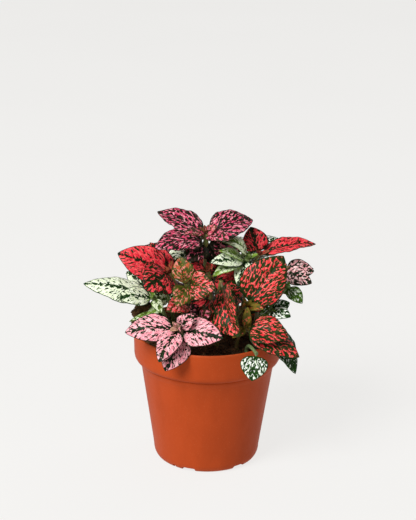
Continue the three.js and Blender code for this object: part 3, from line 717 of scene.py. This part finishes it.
def blade(form, leaf, young=0.0, shift=0.0):
    """One leaf: an arched, quilted blade with waved margins, and the stalk that runs on as its midrib."""
    sizes = setting("leaf")
    pitch = sizes.pitch / MM
    rows = int(np.clip(leaf.length / pitch * 0.8, *BLADE_ROWS))
    columns = 2 * int(np.clip(leaf.width / pitch / 2, *HALF_COLUMNS))
    step, line = np.linspace(0, 1, rows + 1), np.linspace(-1, 1, columns + 1)
    s = (0.45 * step + 0.275 * (1 - np.cos(math.pi * step)))[:, None]  # closer at the base and the tip
    v = (line * (0.7 + 0.3 * np.abs(line)))[None]  # closer at the midrib
    half = leaf.width / 2 * s**BASE_POWER * (1 - s) ** TIP_POWER / FULL + 0.1 + 0.5 * (1 - s) ** 6
    w = v * half
    off = np.abs(w)

    # start is where the side vein through a point leaves the midrib, and rib counts the side veins
    start = s * (BLADE_END - PETIOLE) * leaf.length - 0.8 * off - 0.018 * off**2
    gap = np.clip(leaf.length * VEIN_GAP, *VEIN_GAPS)
    rib = start / gap + 0.35 * leaf.seed + np.where(w < 0, 0.18, 0) + 0 * v
    rise = relief(leaf, s, v, half, rib)
    middle = leaf.lay(blade_share(s) + 0 * v, w, rise)
    normal = np.cross(np.gradient(middle, axis=1), np.gradient(middle, axis=0))
    size = np.linalg.norm(normal, axis=2)[..., None]
    normal = np.where(size > 1e-7, normal / np.maximum(size, 1e-9), leaf.axes()[2])
    thick = (sizes.thickness / MM / 2 * (1 - 0.55 * v**4) + 0 * s)[..., None]

    state = np.zeros((w.size, 3))
    state[:, 0], state[:, 2] = young, shift
    own = np.full_like(w, 41 * leaf.seed + 7 * young)
    vein = np.stack([1.3 * w, start, own], 2).reshape(-1, 3)
    plan = np.stack([off, (half - off) * np.minimum(1, s * 3), s + 0 * v], 2).reshape(-1, 3)
    form.add(
        np.concatenate([(middle + side * normal * thick).reshape(-1, 3) for side in (1, -1)]),
        plate_faces(rows, columns),
        vein=np.concatenate([vein, vein]),
        blade=np.concatenate([plan, plan]),
        leaf=np.concatenate([state, state + (0, 1, 0)]),
        rib=np.concatenate([rib.ravel(), rib.ravel()]),
    )
    stalk(form, leaf, young, blade_share(s)[:, 0], rise[:, columns // 2])


def stalk(form, leaf, young, share_along, rise_along):
    """The stalk of a leaf, which runs on under its blade as the midrib."""
    u = np.concatenate([np.linspace(0, PETIOLE, 6)[:-1], np.linspace(PETIOLE, RIB_END, RIB_STEPS)])
    rise = np.where(u < PETIOLE, leaf.arch * 4 * u * (1 - u), np.interp(u, share_along, rise_along))
    girth = np.clip(leaf.length / 40, 0.45, 1.1)
    radii = girth * np.interp(u, [0, PETIOLE, 0.35, RIB_END], [1.0, 0.85, 0.6, 0.2])
    sunk = np.interp(u, [0, PETIOLE * 0.6, PETIOLE * 1.3], [0, 0.1, 0.75])
    path = leaf.lay(u, 0 * u, rise - radii * sunk)
    state = np.tile([[young, 0, 0.6]], (len(path) * RIB_SIDES + 2, 1))
    tube(form, path, radii, RIB_SIDES, 1, flat=0.85, up=leaf.axes()[2], leaf=state)


def crown_leaves(form, name, stem, index):
    """The youngest leaves, in crossed pairs round the growing tip."""
    rise = unit(stem.crown - stem.bend)
    side = unit(np.cross(rise, (0.3, -1, 0.2)))
    other = np.cross(rise, side)
    for k in range(6):
        a = math.radians(90 * (k // 2) + 180 * (k % 2) + 40 * draw(index + k) - 20)
        outward = math.cos(a) * side + math.sin(a) * other
        size, spread = CROWN_PAIRS[k // 2]
        size *= 0.85 + 0.3 * draw(index + k + 9)
        tip = stem.crown + size * unit(rise + spread * outward) - (0, 0, RIM)
        face = unit(rise - 0.9 * outward) if spread < 0.5 else unit(1.2 * rise - 0.5 * outward)
        leaf = Leaf(name, stem, (1, tip, size * CROWN_WIDTH, face, -0.4), index + k)
        leaf.fold, leaf.curl = 0.55, 0.2
        blade(form, leaf, young=1.0)


def shoot_stem(form, stem, leaves):
    """The stem: rooted deep in the soil, a little thicker at each leaf, tapering to the crown."""
    t = np.linspace(0, 1, STEM_STEPS)
    above = stem.at(t)
    below = stem.foot - np.outer(np.linspace(ROOTED, 0, ROOT_STEPS + 1)[:-1], (0, 0, 1))
    radii = STEM_RADIUS * (1 - 0.22 * t)
    for leaf in leaves:
        radii += 0.4 * np.exp(-(((t - leaf.place) / 0.022) ** 2))
    path = np.concatenate([below, above])
    radii = np.concatenate([np.full(ROOT_STEPS, STEM_RADIUS * 1.05), radii])
    state = np.zeros((len(path) * STEM_SIDES + 2, 3))
    state[:-2, 0] = np.repeat(np.clip((path[:, 2] - stem.foot[2]) / 60, 0, 1), STEM_SIDES)
    tube(form, path, radii, STEM_SIDES, 1, leaf=state)


# ---------------------------------------------------------------- finishes
class Paint:
    """A material whose node tree is written in short calls; each gives the socket that it ends in."""

    def __init__(self, name):
        self.material = bpy.data.materials.new(name)
        self.material.use_nodes = True
        self.tree = self.material.node_tree
        self.shader = self.tree.nodes["Principled BSDF"]

    def node(self, kind, inputs=(), **settings):
        node = self.tree.nodes.new("ShaderNode" + kind)
        for key, value in settings.items():
            setattr(node, key, value)
        for key, value in dict(inputs).items():
            self.feed(node.inputs[key], value)
        return node

    def feed(self, socket, value):
        if isinstance(value, bpy.types.NodeSocket):
            self.tree.links.new(value, socket)
        elif socket.type == "RGBA":
            socket.default_value = (*value[:3], 1)
        else:
            socket.default_value = value

    def surface(self, **inputs):
        for key, value in inputs.items():
            self.feed(self.shader.inputs[key.replace("_", " ")], value)

    def mark(self, name, output="Vector"):
        return self.node("Attribute", attribute_name=name).outputs[output]

    def parts(self, vector):
        return self.node("SeparateXYZ", {"Vector": vector}).outputs[:]

    def vector(self, x, y, z):
        return self.node("CombineXYZ", {"X": x, "Y": y, "Z": z}).outputs[0]

    def maths(self, operation, *values):
        return self.node("Math", enumerate(values), operation=operation).outputs[0]

    def times(self, first, second):
        return self.maths("MULTIPLY", first, second)

    def plus(self, first, second):
        return self.maths("ADD", first, second)

    def noise(self, vector, scale, detail=2.0, roughness=0.5, distortion=0.0):
        inputs = dict(Vector=vector, Scale=scale, Detail=detail, Roughness=roughness, Distortion=distortion)
        return self.node("TexNoise", inputs).outputs["Fac"]

    def ramp(self, value, low, high, at_low=0.0, at_high=1.0):
        """Goes smoothly from at_low, where the value is low, to at_high, where it is high."""
        inputs = {"Value": value, "From Min": low, "From Max": high, "To Min": at_low, "To Max": at_high}
        return self.node("MapRange", inputs, interpolation_type="SMOOTHSTEP").outputs["Result"]

    def mix(self, share, first, second, blend="MIX"):
        node = self.node("Mix", data_type="RGBA", blend_type=blend)
        self.feed(node.inputs["Factor"], share)
        self.feed([i for i in node.inputs if i.name == "A" and i.type == "RGBA"][0], first)
        self.feed([i for i in node.inputs if i.name == "B" and i.type == "RGBA"][0], second)
        return [o for o in node.outputs if o.type == "RGBA"][0]

    def bump(self, height, distance, strength=1.0, under=None):
        inputs = {"Height": height, "Distance": distance, "Strength": strength}
        if under is not None:
            inputs["Normal"] = under
        return self.node("Bump", inputs).outputs["Normal"]


def leaf_finish(variety):
    """Spots strung along the side veins, a dark midrib, margin and veins, and a paler, redder underside."""
    look = setting(variety)
    paint = Paint(variety + "_leaf")
    across, along, seed = paint.parts(paint.mark("vein"))
    off, edge, up = paint.parts(paint.mark("blade"))
    young, under, shift = paint.parts(paint.mark("leaf"))
    rib = paint.maths("PINGPONG", paint.mark("rib", "Fac"), 0.5)
    size = look.size / MM
    along_veins = paint.maths("DIVIDE", across, size * look.stretch)
    grain = paint.vector(along_veins, paint.maths("DIVIDE", along, size), seed)
    field = paint.noise(grain, 1.0, 2.0, 0.5, 0.5)
    patchy = paint.noise(grain, 0.55, 1.0, 0.5, 0.3)

    # a spot lies where the field is over a level, which is raised at the veins, the midrib and the base
    level = 0.5 + 0.25 * (0.5 - look.cover) * 1.5
    level = paint.maths("SUBTRACT", level, paint.times(shift, 0.3))
    ribs = paint.times(paint.ramp(rib, 0.02, 0.2, look.veins, 0.0), paint.ramp(patchy, 0.4, 0.6))
    spine = paint.times(paint.ramp(off, 0.2, 2.2, look.midrib, 0.0), paint.ramp(patchy, 0.3, 0.6, 0.45))
    level = paint.plus(level, paint.plus(ribs, spine))
    level = paint.plus(level, paint.ramp(up, 0.0, 0.16, 0.1, 0.0))
    spots = paint.ramp(paint.maths("SUBTRACT", field, level), -0.006, 0.01)
    fleck = paint.ramp(paint.noise(grain, 2.6, 1.0, 0.5, 0.2), 0.65, 0.67, 1.0, 0.0)
    spots = paint.times(spots, fleck)
    spots = paint.times(spots, paint.ramp(edge, 0.3, 0.6))

    blush = paint.noise(grain, 0.8, 2.0)
    spot_tone = paint.mix(paint.ramp(blush, 0.4, 0.62), look.spot, look.spot_pale)
    ground_tone = paint.mix(paint.ramp(blush, 0.4, 0.7), look.ground, [c * 2.2 for c in look.ground])
    skin = paint.mix(spots, ground_tone, spot_tone)
    still_young = paint.times(young, paint.ramp(patchy, 0.35, 0.65, 0.25, 0.75))
    skin = paint.mix(still_young, skin, look.young)
    skin = paint.mix(paint.times(under, 0.7), skin, look.under)

    cells = paint.noise(paint.vector(across, along, seed), 2.4, 2.0)
    height = paint.plus(paint.times(cells, 0.5), paint.ramp(rib, 0.0, 0.14))
    gloss = paint.plus(paint.ramp(cells, 0.3, 0.7, 0.34, 0.46), paint.times(under, 0.18))
    paint.surface(
        Base_Color=skin,
        Roughness=gloss,
        Specular_IOR_Level=0.12,
        Normal=paint.bump(height, 0.00018, 0.6),
    )
    return paint.material


def stem_finish(variety):
    """Juicy stems and stalks: green under, flushed towards the variety's colour, with fine ridges."""
    look = setting(variety)
    paint = Paint(variety + "_stem")
    around, along, seed = paint.parts(paint.mark("vein"))
    young, _, stalk = paint.parts(paint.mark("leaf"))
    drawn_out = paint.vector(paint.times(around, 2.2), paint.times(along, 0.25), seed)
    streaks = paint.noise(drawn_out, 1.0)
    green = paint.mix(young, tone("4c5a2a"), tone("74903c"))
    flush = paint.mix(0.1, look.under, look.spot)
    skin = paint.mix(paint.ramp(streaks, 0.42, 0.66, 0.15, 0.75), green, flush)
    skin = paint.mix(paint.times(stalk, 0.5), skin, tone("43572a"))
    paint.surface(
        Base_Color=skin,
        Roughness=paint.ramp(streaks, 0.3, 0.7, 0.38, 0.52),
        Normal=paint.bump(streaks, 0.0003, 0.5),
    )
    return paint.material


def pot_finish():
    """Satin moulded plastic with faint flow marks and fine scuffs. It is flecked paler near its rim and its
    foot, partly as a dusting and partly as a painted highlight on these edges.
    """
    look = setting("pot")
    paint = Paint("terracotta_plastic")
    where = paint.node("TexCoord").outputs["Object"]
    x, y, z = paint.parts(where)
    angle = paint.maths("ARCTAN2", y, x)
    round_pot = paint.vector(paint.maths("COSINE", angle), paint.maths("SINE", angle), paint.times(z, 9.0))
    flow = paint.noise(round_pot, 3.2, 4.0, 0.55)
    skin = paint.mix(paint.ramp(flow, 0.36, 0.68, 0.0, 0.3), look.plastic, [c * 0.72 for c in look.plastic])
    scuffs = paint.noise(paint.vector(x, y, paint.times(z, 6.0)), 420.0, 3.0, 0.6)
    height = paint.times(z, 1 / (RIM * MM))
    # paler near the rim and the foot, where the scuffs fleck it: partly dust, partly a painted highlight on
    # these edges
    edge_dust_and_highlight = paint.plus(paint.ramp(height, 0.975, 1.0), paint.ramp(height, 0.0, 0.05, 1.0, 0.0))
    dust_and_highlight = paint.times(paint.ramp(scuffs, 0.48, 0.75, 0.08, 0.5), edge_dust_and_highlight)
    skin = paint.mix(dust_and_highlight, skin, look.dust_and_highlight_tone)
    speckle = paint.noise(where, 1500.0, 1.0)
    skin = paint.mix(paint.ramp(speckle, 0.66, 0.76, 0.0, 0.35), skin, look.dust_and_highlight_tone)
    worn_gloss = paint.ramp(scuffs, 0.3, 0.7, 0.4, 0.5)
    paint.surface(
        Base_Color=skin,
        Roughness=paint.plus(worn_gloss, paint.ramp(flow, 0.3, 0.7, 0.0, 0.08)),
        Specular_IOR_Level=0.07,
        Normal=paint.bump(paint.noise(where, 900.0, 2.0), 0.00006, 0.5, paint.bump(flow, 0.0006, 0.25)),
    )
    return paint.material


def soil_finish():
    """Damp peaty soil: dark, crumbly, with paler fibres and specks of grit."""
    look = setting("soil")
    paint = Paint("potting_soil")
    where = paint.node("TexCoord").outputs["Object"]
    dryness, pale, _ = paint.parts(paint.mark("leaf"))
    lumps = paint.noise(where, 260.0, 5.0, 0.65)
    fine = paint.noise(where, 1400.0, 3.0, 0.6)
    skin = paint.mix(paint.ramp(lumps, 0.4, 0.68), look.damp, look.dry)
    # darkened where the fine grain is low, in the hollows of its bump: painted shade between the grains
    skin = paint.mix(paint.ramp(fine, 0.35, 0.6, 0.4, 0.0), skin, [c * 0.35 for c in look.damp])
    skin = paint.mix(paint.times(dryness, 0.5), skin, look.dry)
    skin = paint.mix(paint.ramp(fine, 0.68, 0.74, 0.0, 0.5), skin, look.fibre)
    skin = paint.mix(pale, skin, look.fibre)
    paint.surface(
        Base_Color=skin,
        Roughness=paint.ramp(lumps, 0.3, 0.7, 0.98, 0.8),
        Specular_IOR_Level=0.3,
        Normal=paint.bump(fine, 0.0006, 0.9, paint.bump(lumps, 0.0016, 0.8)),
    )
    return paint.material


# ---------------------------------------------------------------- shoots
def grow_shoots(kind):
    """Grows every shoot of one variety."""
    leaf_skin, stem_skin = leaf_finish(kind), stem_finish(kind)
    for k, (name, (variety, stem, leaves)) in enumerate(planting.items()):
        if variety != kind:
            continue
        form = Form()
        shoot_stem(form, stem, leaves)
        for i, leaf in enumerate(leaves):
            # how full a leaf's spots are; on the deep pink top's two inner leaves it is lowered as painted
            # shade
            shift, young = TINGE.get(name, {}).get(i, (0, 0))
            young = max(young, float(np.clip((SMALL_LEAF - leaf.width) / 6, 0, 0.5)))
            blade(form, leaf, young, shift)
        if name not in BARE_TIPS:
            crown_leaves(form, name, stem, 900 + 20 * k)
        piece_name = name.replace("shoot_", "") + "_shoot"
        form.piece(piece_name, name, variety + "_leaf", leaf_skin, stem_skin)


# ---------------------------------------------------------------- pot
FOOT_TOP = 8  # height where the foot's round corner meets the tapering wall
SHOULDER = 5  # how far under the collar the wall starts to swell
CORNER_STEPS, WALL_STEPS, POT_SIDES = 6, 8, 216  # mesh of the foot's corner, the wall, and round
DRAWN_BODY = 47.1  # body radius that the collar's curve is drawn for
COLLAR_CURVE = [  # out from the wall under the collar, and up to the collar's face
    (47.5, -3.8), (48.1, -2.4), (48.4, -1.2), (48.45, -0.4), (48.05, 0.1), (48.1, 0.45), (48.9, 0.5),
    (50.1, 0.85), (51.2, 1.7), (51.9, 3.0), (52.25, 5.0), (52.3, 8), (52.45, 14),
]
LIP_CURVE = [(0, -1.3), (-0.06, -0.7), (-0.28, -0.25), (-0.6, 0), (-0.95, -0.02), (-1.3, -0.2), (-1.5, -0.6)]
NOTCHES, FIRST_NOTCH = 6, -110  # drainage notches round the foot, and the bearing of the first
SLOT_TURN, SLOT_WIDTH = -18, 2.4  # the narrow slot beside every other notch
NOTCH_HEIGHT, NOTCH_CORNER = 2.8, 0.7
NOTCH_REACH = (0.58, 0.95)  # from where to where a notch is cut, as shares of the rim's radius


def pot_profile():
    """Outline of the moulded wall, from the middle of the underside round the rim to the middle inside."""
    sizes = setting("pot")
    foot, wall, body = sizes.foot / MM, sizes.wall / MM, sizes.body / MM
    collar = RIM - sizes.collar / MM
    low = foot + 4.1
    tall = collar - SHOULDER - FOOT_TOP
    outside = [(0, 0), (foot * 0.6, 0), (foot - 1, 0), (foot + 0.4, 0.15)]
    for k in range(1, CORNER_STEPS + 1):
        a = math.radians(90 / CORNER_STEPS * k)
        outside.append((foot + 0.4 + 3.7 * math.sin(a), 0.15 + 7.4 * (1 - math.cos(a))))
    for k in range(1, WALL_STEPS + 1):
        rise = tall * k / WALL_STEPS
        outside.append((low + (body - low) / tall * rise, FOOT_TOP + rise))
    outside += [(r + body - DRAWN_BODY, collar + z) for r, z in COLLAR_CURVE]
    outside += [(RIM_RADIUS + r, RIM + z) for r, z in LIP_CURVE]
    inside = [(RIM_RADIUS - 1.55, RIM - 2), (RIM_RADIUS - 1.6, collar + 5.2)]
    inside += [(50, collar + 2.4), (body - wall, collar - 4.4), (low - wall, 8.4)]
    inside += [(foot + 1.6 - wall, 3.4), (foot - wall, wall), (0, wall)]
    return outside + inside


def drain_cutter(turn, width):
    """A rounded block that cuts one notch in the foot, at a bearing from the pot's axis."""
    mesh = bpy.data.meshes.new("drain_cutter")
    side, top, corner = width / 2, NOTCH_HEIGHT, NOTCH_CORNER
    section = [(-side, -2), (side, -2), (side, top - corner), (side - corner, top)]
    section += [(-side + corner, top), (-side, top - corner)]
    a = math.radians(turn)
    points = [
        Vector((x * math.cos(a) - y * math.sin(a), x * math.sin(a) + y * math.cos(a), z)) * MM
        for x in (RIM_RADIUS * reach for reach in NOTCH_REACH)
        for y, z in section
    ]
    n = len(section)
    faces = [tuple(reversed(range(n))), tuple(range(n, 2 * n))]
    faces += [(k, (k + 1) % n, n + (k + 1) % n, n + k) for k in range(n)]
    mesh.from_pydata(points, [], faces)
    return placed("drain_cutter", mesh)


def mould_pot():
    """The pot: a thin turned wall with a deep collar and a lipped rim, and drainage notches in its foot."""
    profile = np.array(pot_profile())
    turn = full_turn(POT_SIDES)
    inner = profile[1:-1]
    r, z = inner[:, 0:1], inner[:, 1:2]
    rings = np.stack([r * np.cos(turn), r * np.sin(turn), z + 0 * turn], 2)
    points = np.concatenate([rings.reshape(-1, 3), [(0, 0, profile[0, 1])], [(0, 0, profile[-1, 1])]])
    form = Form()
    form.add(points, closed_rings(len(inner), POT_SIDES))
    pot = form.piece("nursery_pot", "pot", "pot_plastic", pot_finish())
    for k in range(NOTCHES):
        bearing = FIRST_NOTCH + 360 / NOTCHES * k
        cutters = [drain_cutter(bearing, setting("pot").notch / MM)]
        if k % 2 == 0:
            cutters.append(drain_cutter(bearing + SLOT_TURN, SLOT_WIDTH))
        for cutter in cutters:
            cut = pot.modifiers.new("drain", "BOOLEAN")
            cut.operation, cut.solver, cut.object = "DIFFERENCE", "EXACT", cutter
            with bpy.context.temp_override(object=pot, active_object=pot):
                bpy.ops.object.modifier_apply(modifier=cut.name)
            bpy.data.objects.remove(cutter)
    pot.data.set_sharp_from_angle(angle=math.radians(40))


# ---------------------------------------------------------------- soil
SOIL_RINGS, SOIL_SIDES = 72, 288  # mesh lines round the soil's surface, and across it
WALL_GAP = 2.0  # how far inside the rim's radius the soil ends


def lumps(x, y, layer, size, octaves):
    """Lumpy heights at the points x, y; each layer has its own lumps."""
    heights = [
        noise.fractal(Vector((px, py, layer)) / size, 0.7, 2.1, octaves, noise_basis="PERLIN_ORIGINAL")
        for px, py in zip(x.ravel(), y.ravel())
    ]
    return np.reshape(heights, x.shape)


def fill_pot():
    """The soil: one lumpy, crumbly mass that fills the pot and is heaped at the back left."""
    sizes = setting("soil")
    grain = sizes.grain / MM
    reach = RIM_RADIUS - WALL_GAP
    r = reach * (np.arange(1, SOIL_RINGS + 1) / SOIL_RINGS) ** 0.85
    turn = full_turn(SOIL_SIDES)
    x, y = r[:, None] * np.cos(turn), r[:, None] * np.sin(turn)
    z = RIM + soil_height(x, y)
    coarse, fine = lumps(x, y, 3, grain * 1.6, 5), lumps(x, y, 9, grain * 0.45, 2)
    inward = 1 - ease(r, reach - 3, reach)[:, None]
    z = z + (1.5 * coarse + 0.7 * np.abs(fine)) * (0.35 + 0.65 * inward)
    collar = RIM - setting("pot").collar / MM
    wall = [(reach, collar + 5.5), (45.0, collar - 4.6), (36.2, 8.6), (31.6, 2.2)]
    rows = [np.stack([x[i], y[i], z[i]], 1) for i in range(SOIL_RINGS)]
    rows += [np.stack([a * np.cos(turn), a * np.sin(turn), b + 0 * turn], 1) for a, b in wall]
    points = np.concatenate(rows + [[(0, 0, RIM + soil_height(0, 0))], [(0, 0, wall[-1][1])]])
    form = Form()
    form.add(points, [face[::-1] for face in closed_rings(len(rows), SOIL_SIDES)])
    random = np.random.default_rng(11)
    scatter_crumbs(form, sizes.crumbs, reach, random)
    pile_clods(form, reach, random)
    form.piece("soil", "soil", "potting_soil", soil_finish())


def crumb_shape():
    """Corners and faces of a small rounded crumb of unit radius."""
    golden = (1 + 5**0.5) / 2
    corners = []
    for a in (-1, 1):
        for b in (-golden, golden):
            corners += [(0, a, b), (a, b, 0), (b, 0, a)]
    corners = np.array(corners) / np.linalg.norm(corners[0])
    faces = [
        (i, j, k)
        for i in range(12)
        for j in range(i + 1, 12)
        for k in range(j + 1, 12)
        if max(np.linalg.norm(corners[p] - corners[q]) for p, q in ((i, j), (j, k), (i, k))) < 1.1
    ]
    for n, (i, j, k) in enumerate(faces):
        if np.cross(corners[j] - corners[i], corners[k] - corners[i]) @ corners[i] <= 0:
            faces[n] = (k, j, i)
    return corners, faces


def random_spin(random):
    """A turn to any side, which keeps a crumb's faces outward."""
    spin = np.linalg.qr(random.normal(size=(3, 3)))[0]
    return spin * np.sign(np.linalg.det(spin))


def scatter_crumbs(form, count, reach, random):
    """Loose crumbs, bits of fibre and grit, half sunk in the surface."""
    corners, faces = crumb_shape()
    for _ in range(count):
        a, far = random.uniform(0, 2 * math.pi), (reach - 1.5) * math.sqrt(random.uniform(0, 1))
        x, y = far * math.cos(a), far * math.sin(a)
        size = random.uniform(0.35, 1.0) ** 1.8 * 1.9
        stretch = random.uniform(0.6, 1.5, 3) * ((2.6, 0.45, 0.4) if random.uniform() < 0.14 else (1, 1, 0.8))
        shape = corners * random.uniform(0.75, 1.25, (12, 1)) * stretch * size
        spin = random_spin(random)
        z = RIM + float(soil_height(x, y)) + random.uniform(0.0, 0.9)
        pale = 1.0 if random.uniform() < 0.03 else 0.0
        state = (random.uniform(0, 1), pale, 0)
        if pale:
            shape = shape * 0.55
        form.add(shape @ spin + (x, y, z), faces, leaf=np.tile([state], (12, 1)))


def pile_clods(form, reach, random):
    """Larger clods, piled against the rim where the soil is heaped."""
    corners, faces = crumb_shape()
    for _ in range(CLODS):
        a = math.radians(random.uniform(*CLOD_BEARINGS))
        far = reach - random.uniform(-2.5, 5)
        x, y = far * math.cos(a), far * math.sin(a)
        z = RIM + min(float(soil_height(x, y)), CLOD_TOP) - random.uniform(0, 5)
        size = random.uniform(1.2, 3.2)
        spin = random_spin(random)
        if z > RIM + size:
            shape = corners * random.uniform(0.7, 1.3, (12, 1)) * random.uniform(0.7, 1.2, 3) * size
            state = (random.uniform(0, 1), 0, 0)
            form.add(shape @ spin + (x, y, z), faces, leaf=np.tile([state], (12, 1)))


# ---------------------------------------------------------------- stage
CAMERA_AIM = (-0.00047, 0, 0.1471)  # the camera is 1 m from here
CAMERA_TILT, CAMERA_ROLL = 18.76, 0.77  # degrees that it looks down, and that it leans
LENS, SENSOR = 98.84, 36  # millimetres
FLOOR_RADIUS = 60  # metres, so that the floor fills the view down to a low camera
LIGHTS = [  # name, place, where it shines, size, and its strength as a share of the key light's
    ("key_light", (-1.0, -1.15, 1.5), (0, 0, 0.1), 1.1, 1),
    ("rim_light", (1.2, 0.9, 1.1), (0, 0, 0.12), 0.8, 0.06),
]


def soft_light(name, place, aim, size, power):
    """A round area light at place, turned to aim."""
    light = bpy.data.lights.new(name, "AREA")
    light.shape, light.size, light.energy = "DISK", size, power
    lamp = placed(name, light)
    lamp.location = place
    lamp.rotation_euler = (Vector(aim) - Vector(place)).to_track_quat("-Z", "Y").to_euler()


def set_camera():
    """Level with a viewer who looks a little down on the plant, from its front."""
    camera = placed("camera", bpy.data.cameras.new("camera"))
    camera.data.sensor_width, camera.data.lens = SENSOR, LENS
    camera.data.clip_start = 0.01
    aim, tilt, roll = Vector(CAMERA_AIM), math.radians(CAMERA_TILT), math.radians(CAMERA_ROLL)
    camera.location = aim + Vector((0, -math.cos(tilt), math.sin(tilt)))
    turn = (aim - camera.location).to_track_quat("-Z", "Y").to_matrix()
    across, up, _ = turn.col
    turn.col[0] = across * math.cos(roll) + up * math.sin(roll)
    turn.col[1] = up * math.cos(roll) - across * math.sin(roll)
    camera.rotation_euler = turn.to_euler()
    bpy.context.scene.camera = camera


def set_floor():
    """A wide pale floor."""
    look = setting("stage")
    points = [(FLOOR_RADIUS * math.cos(a), FLOOR_RADIUS * math.sin(a), -0.0001) for a in full_turn(96)]
    mesh = bpy.data.meshes.new("studio_floor")
    mesh.from_pydata(points, [], [tuple(range(len(points)))])
    floor = placed("studio_floor", mesh)
    paint = Paint("pale_floor")
    mottle = paint.noise(paint.node("TexCoord").outputs["Object"], 2.2, 2.0)
    light, dark = ([c * share for c in look.floor] for share in (0.12, 0.11))
    shade = paint.mix(paint.ramp(mottle, 0.35, 0.65), light, dark)
    paint.surface(
        Base_Color=shade,
        Roughness=0.9,
        Specular_IOR_Level=0.1,
        Emission_Color=look.floor,
        Emission_Strength=look.glow,
    )
    mesh.materials.append(paint.material)


# ---------------------------------------------------------------- operators
class MakePot(bpy.types.Operator):
    """Mould the nursery pot, with its collar, rim and drainage notches"""

    bl_idname = "plant.make_pot"
    bl_label = "Nursery pot"

    def execute(self, context):
        mould_pot()
        return {"FINISHED"}


class FillSoil(bpy.types.Operator):
    """Fill the pot with potting soil"""

    bl_idname = "plant.fill_soil"
    bl_label = "Potting soil"

    def execute(self, context):
        fill_pot()
        return {"FINISHED"}


class GrowDeepPink(bpy.types.Operator):
    """Grow the shoots with deep pink leaves"""

    bl_idname = "plant.grow_deep_pink"
    bl_label = "Deep pink shoots"

    def execute(self, context):
        grow_shoots("deep_pink")
        return {"FINISHED"}


class GrowRed(bpy.types.Operator):
    """Grow the shoots with red leaves"""

    bl_idname = "plant.grow_red"
    bl_label = "Red shoots"

    def execute(self, context):
        grow_shoots("red")
        return {"FINISHED"}


class GrowWhite(bpy.types.Operator):
    """Grow the shoots with white leaves"""

    bl_idname = "plant.grow_white"
    bl_label = "White shoots"

    def execute(self, context):
        grow_shoots("white")
        return {"FINISHED"}


class GrowOlive(bpy.types.Operator):
    """Grow the young shoot with olive leaves"""

    bl_idname = "plant.grow_olive"
    bl_label = "Olive shoot"

    def execute(self, context):
        grow_shoots("olive")
        return {"FINISHED"}


class GrowRedGreen(bpy.types.Operator):
    """Grow the shoots whose green leaves are spotted red"""

    bl_idname = "plant.grow_red_green"
    bl_label = "Red and green shoots"

    def execute(self, context):
        grow_shoots("red_green")
        return {"FINISHED"}


class GrowLightPink(bpy.types.Operator):
    """Grow the shoot with light pink leaves"""

    bl_idname = "plant.grow_light_pink"
    bl_label = "Light pink shoot"

    def execute(self, context):
        grow_shoots("light_pink")
        return {"FINISHED"}


class GrowWhiteGreen(bpy.types.Operator):
    """Grow the shoots whose green leaves are spotted white"""

    bl_idname = "plant.grow_white_green"
    bl_label = "White and green shoots"

    def execute(self, context):
        grow_shoots("white_green")
        return {"FINISHED"}


class GrowPalePink(bpy.types.Operator):
    """Grow the shoot with pale pink leaves"""

    bl_idname = "plant.grow_pale_pink"
    bl_label = "Pale pink shoot"

    def execute(self, context):
        grow_shoots("pale_pink")
        return {"FINISHED"}


class SetStage(bpy.types.Operator):
    """Set up the pale floor, the soft studio light and the camera"""

    bl_idname = "plant.set_stage"
    bl_label = "Studio"

    def execute(self, context):
        look = setting("stage")
        set_camera()
        set_floor()
        for name, place, aim, size, strength in LIGHTS:
            soft_light(name, place, aim, size, look.key * strength)
        world = bpy.data.worlds.new("studio")
        world.use_nodes = True
        sky = world.node_tree.nodes["Background"]
        sky.inputs["Color"].default_value = (*tone("f6f5f4"), 1)
        sky.inputs["Strength"].default_value = look.fill
        context.scene.world = world
        context.scene.view_settings.view_transform = "Standard"
        return {"FINISHED"}


STEPS = [SetStage, MakePot, FillSoil, GrowDeepPink, GrowRed, GrowWhite, GrowOlive, GrowRedGreen]
STEPS += [GrowLightPink, GrowWhiteGreen, GrowPalePink]


class PlantPanel(bpy.types.Panel):
    """The sizes and colours of the plant, and the steps that make it"""

    bl_idname = "VIEW3D_PT_polka_dot_plant"
    bl_label = "Polka dot plant"
    bl_space_type = "VIEW_3D"
    bl_region_type = "UI"
    bl_category = "Plant"

    def draw(self, context):
        for group, settings in SETTINGS.items():
            box = self.layout.box()
            box.label(text=group.replace("_", " ").capitalize())
            for prop in settings.__annotations__:
                box.prop(setting(group), prop)
        for step in STEPS:
            self.layout.operator(step.bl_idname)


def register():
    for group, settings in SETTINGS.items():
        bpy.utils.register_class(settings)
        setattr(bpy.types.Scene, "plant_" + group, PointerProperty(type=settings))
    for step in (*STEPS, PlantPanel):
        bpy.utils.register_class(step)


def unregister():
    for step in (*STEPS, PlantPanel):
        bpy.utils.unregister_class(step)
    for group, settings in SETTINGS.items():
        delattr(bpy.types.Scene, "plant_" + group)
        bpy.utils.unregister_class(settings)


def main():
    register()
    for step in STEPS:
        group, name = step.bl_idname.split(".")
        getattr(getattr(bpy.ops, group), name)()


if __name__ == "__main__":
    main()
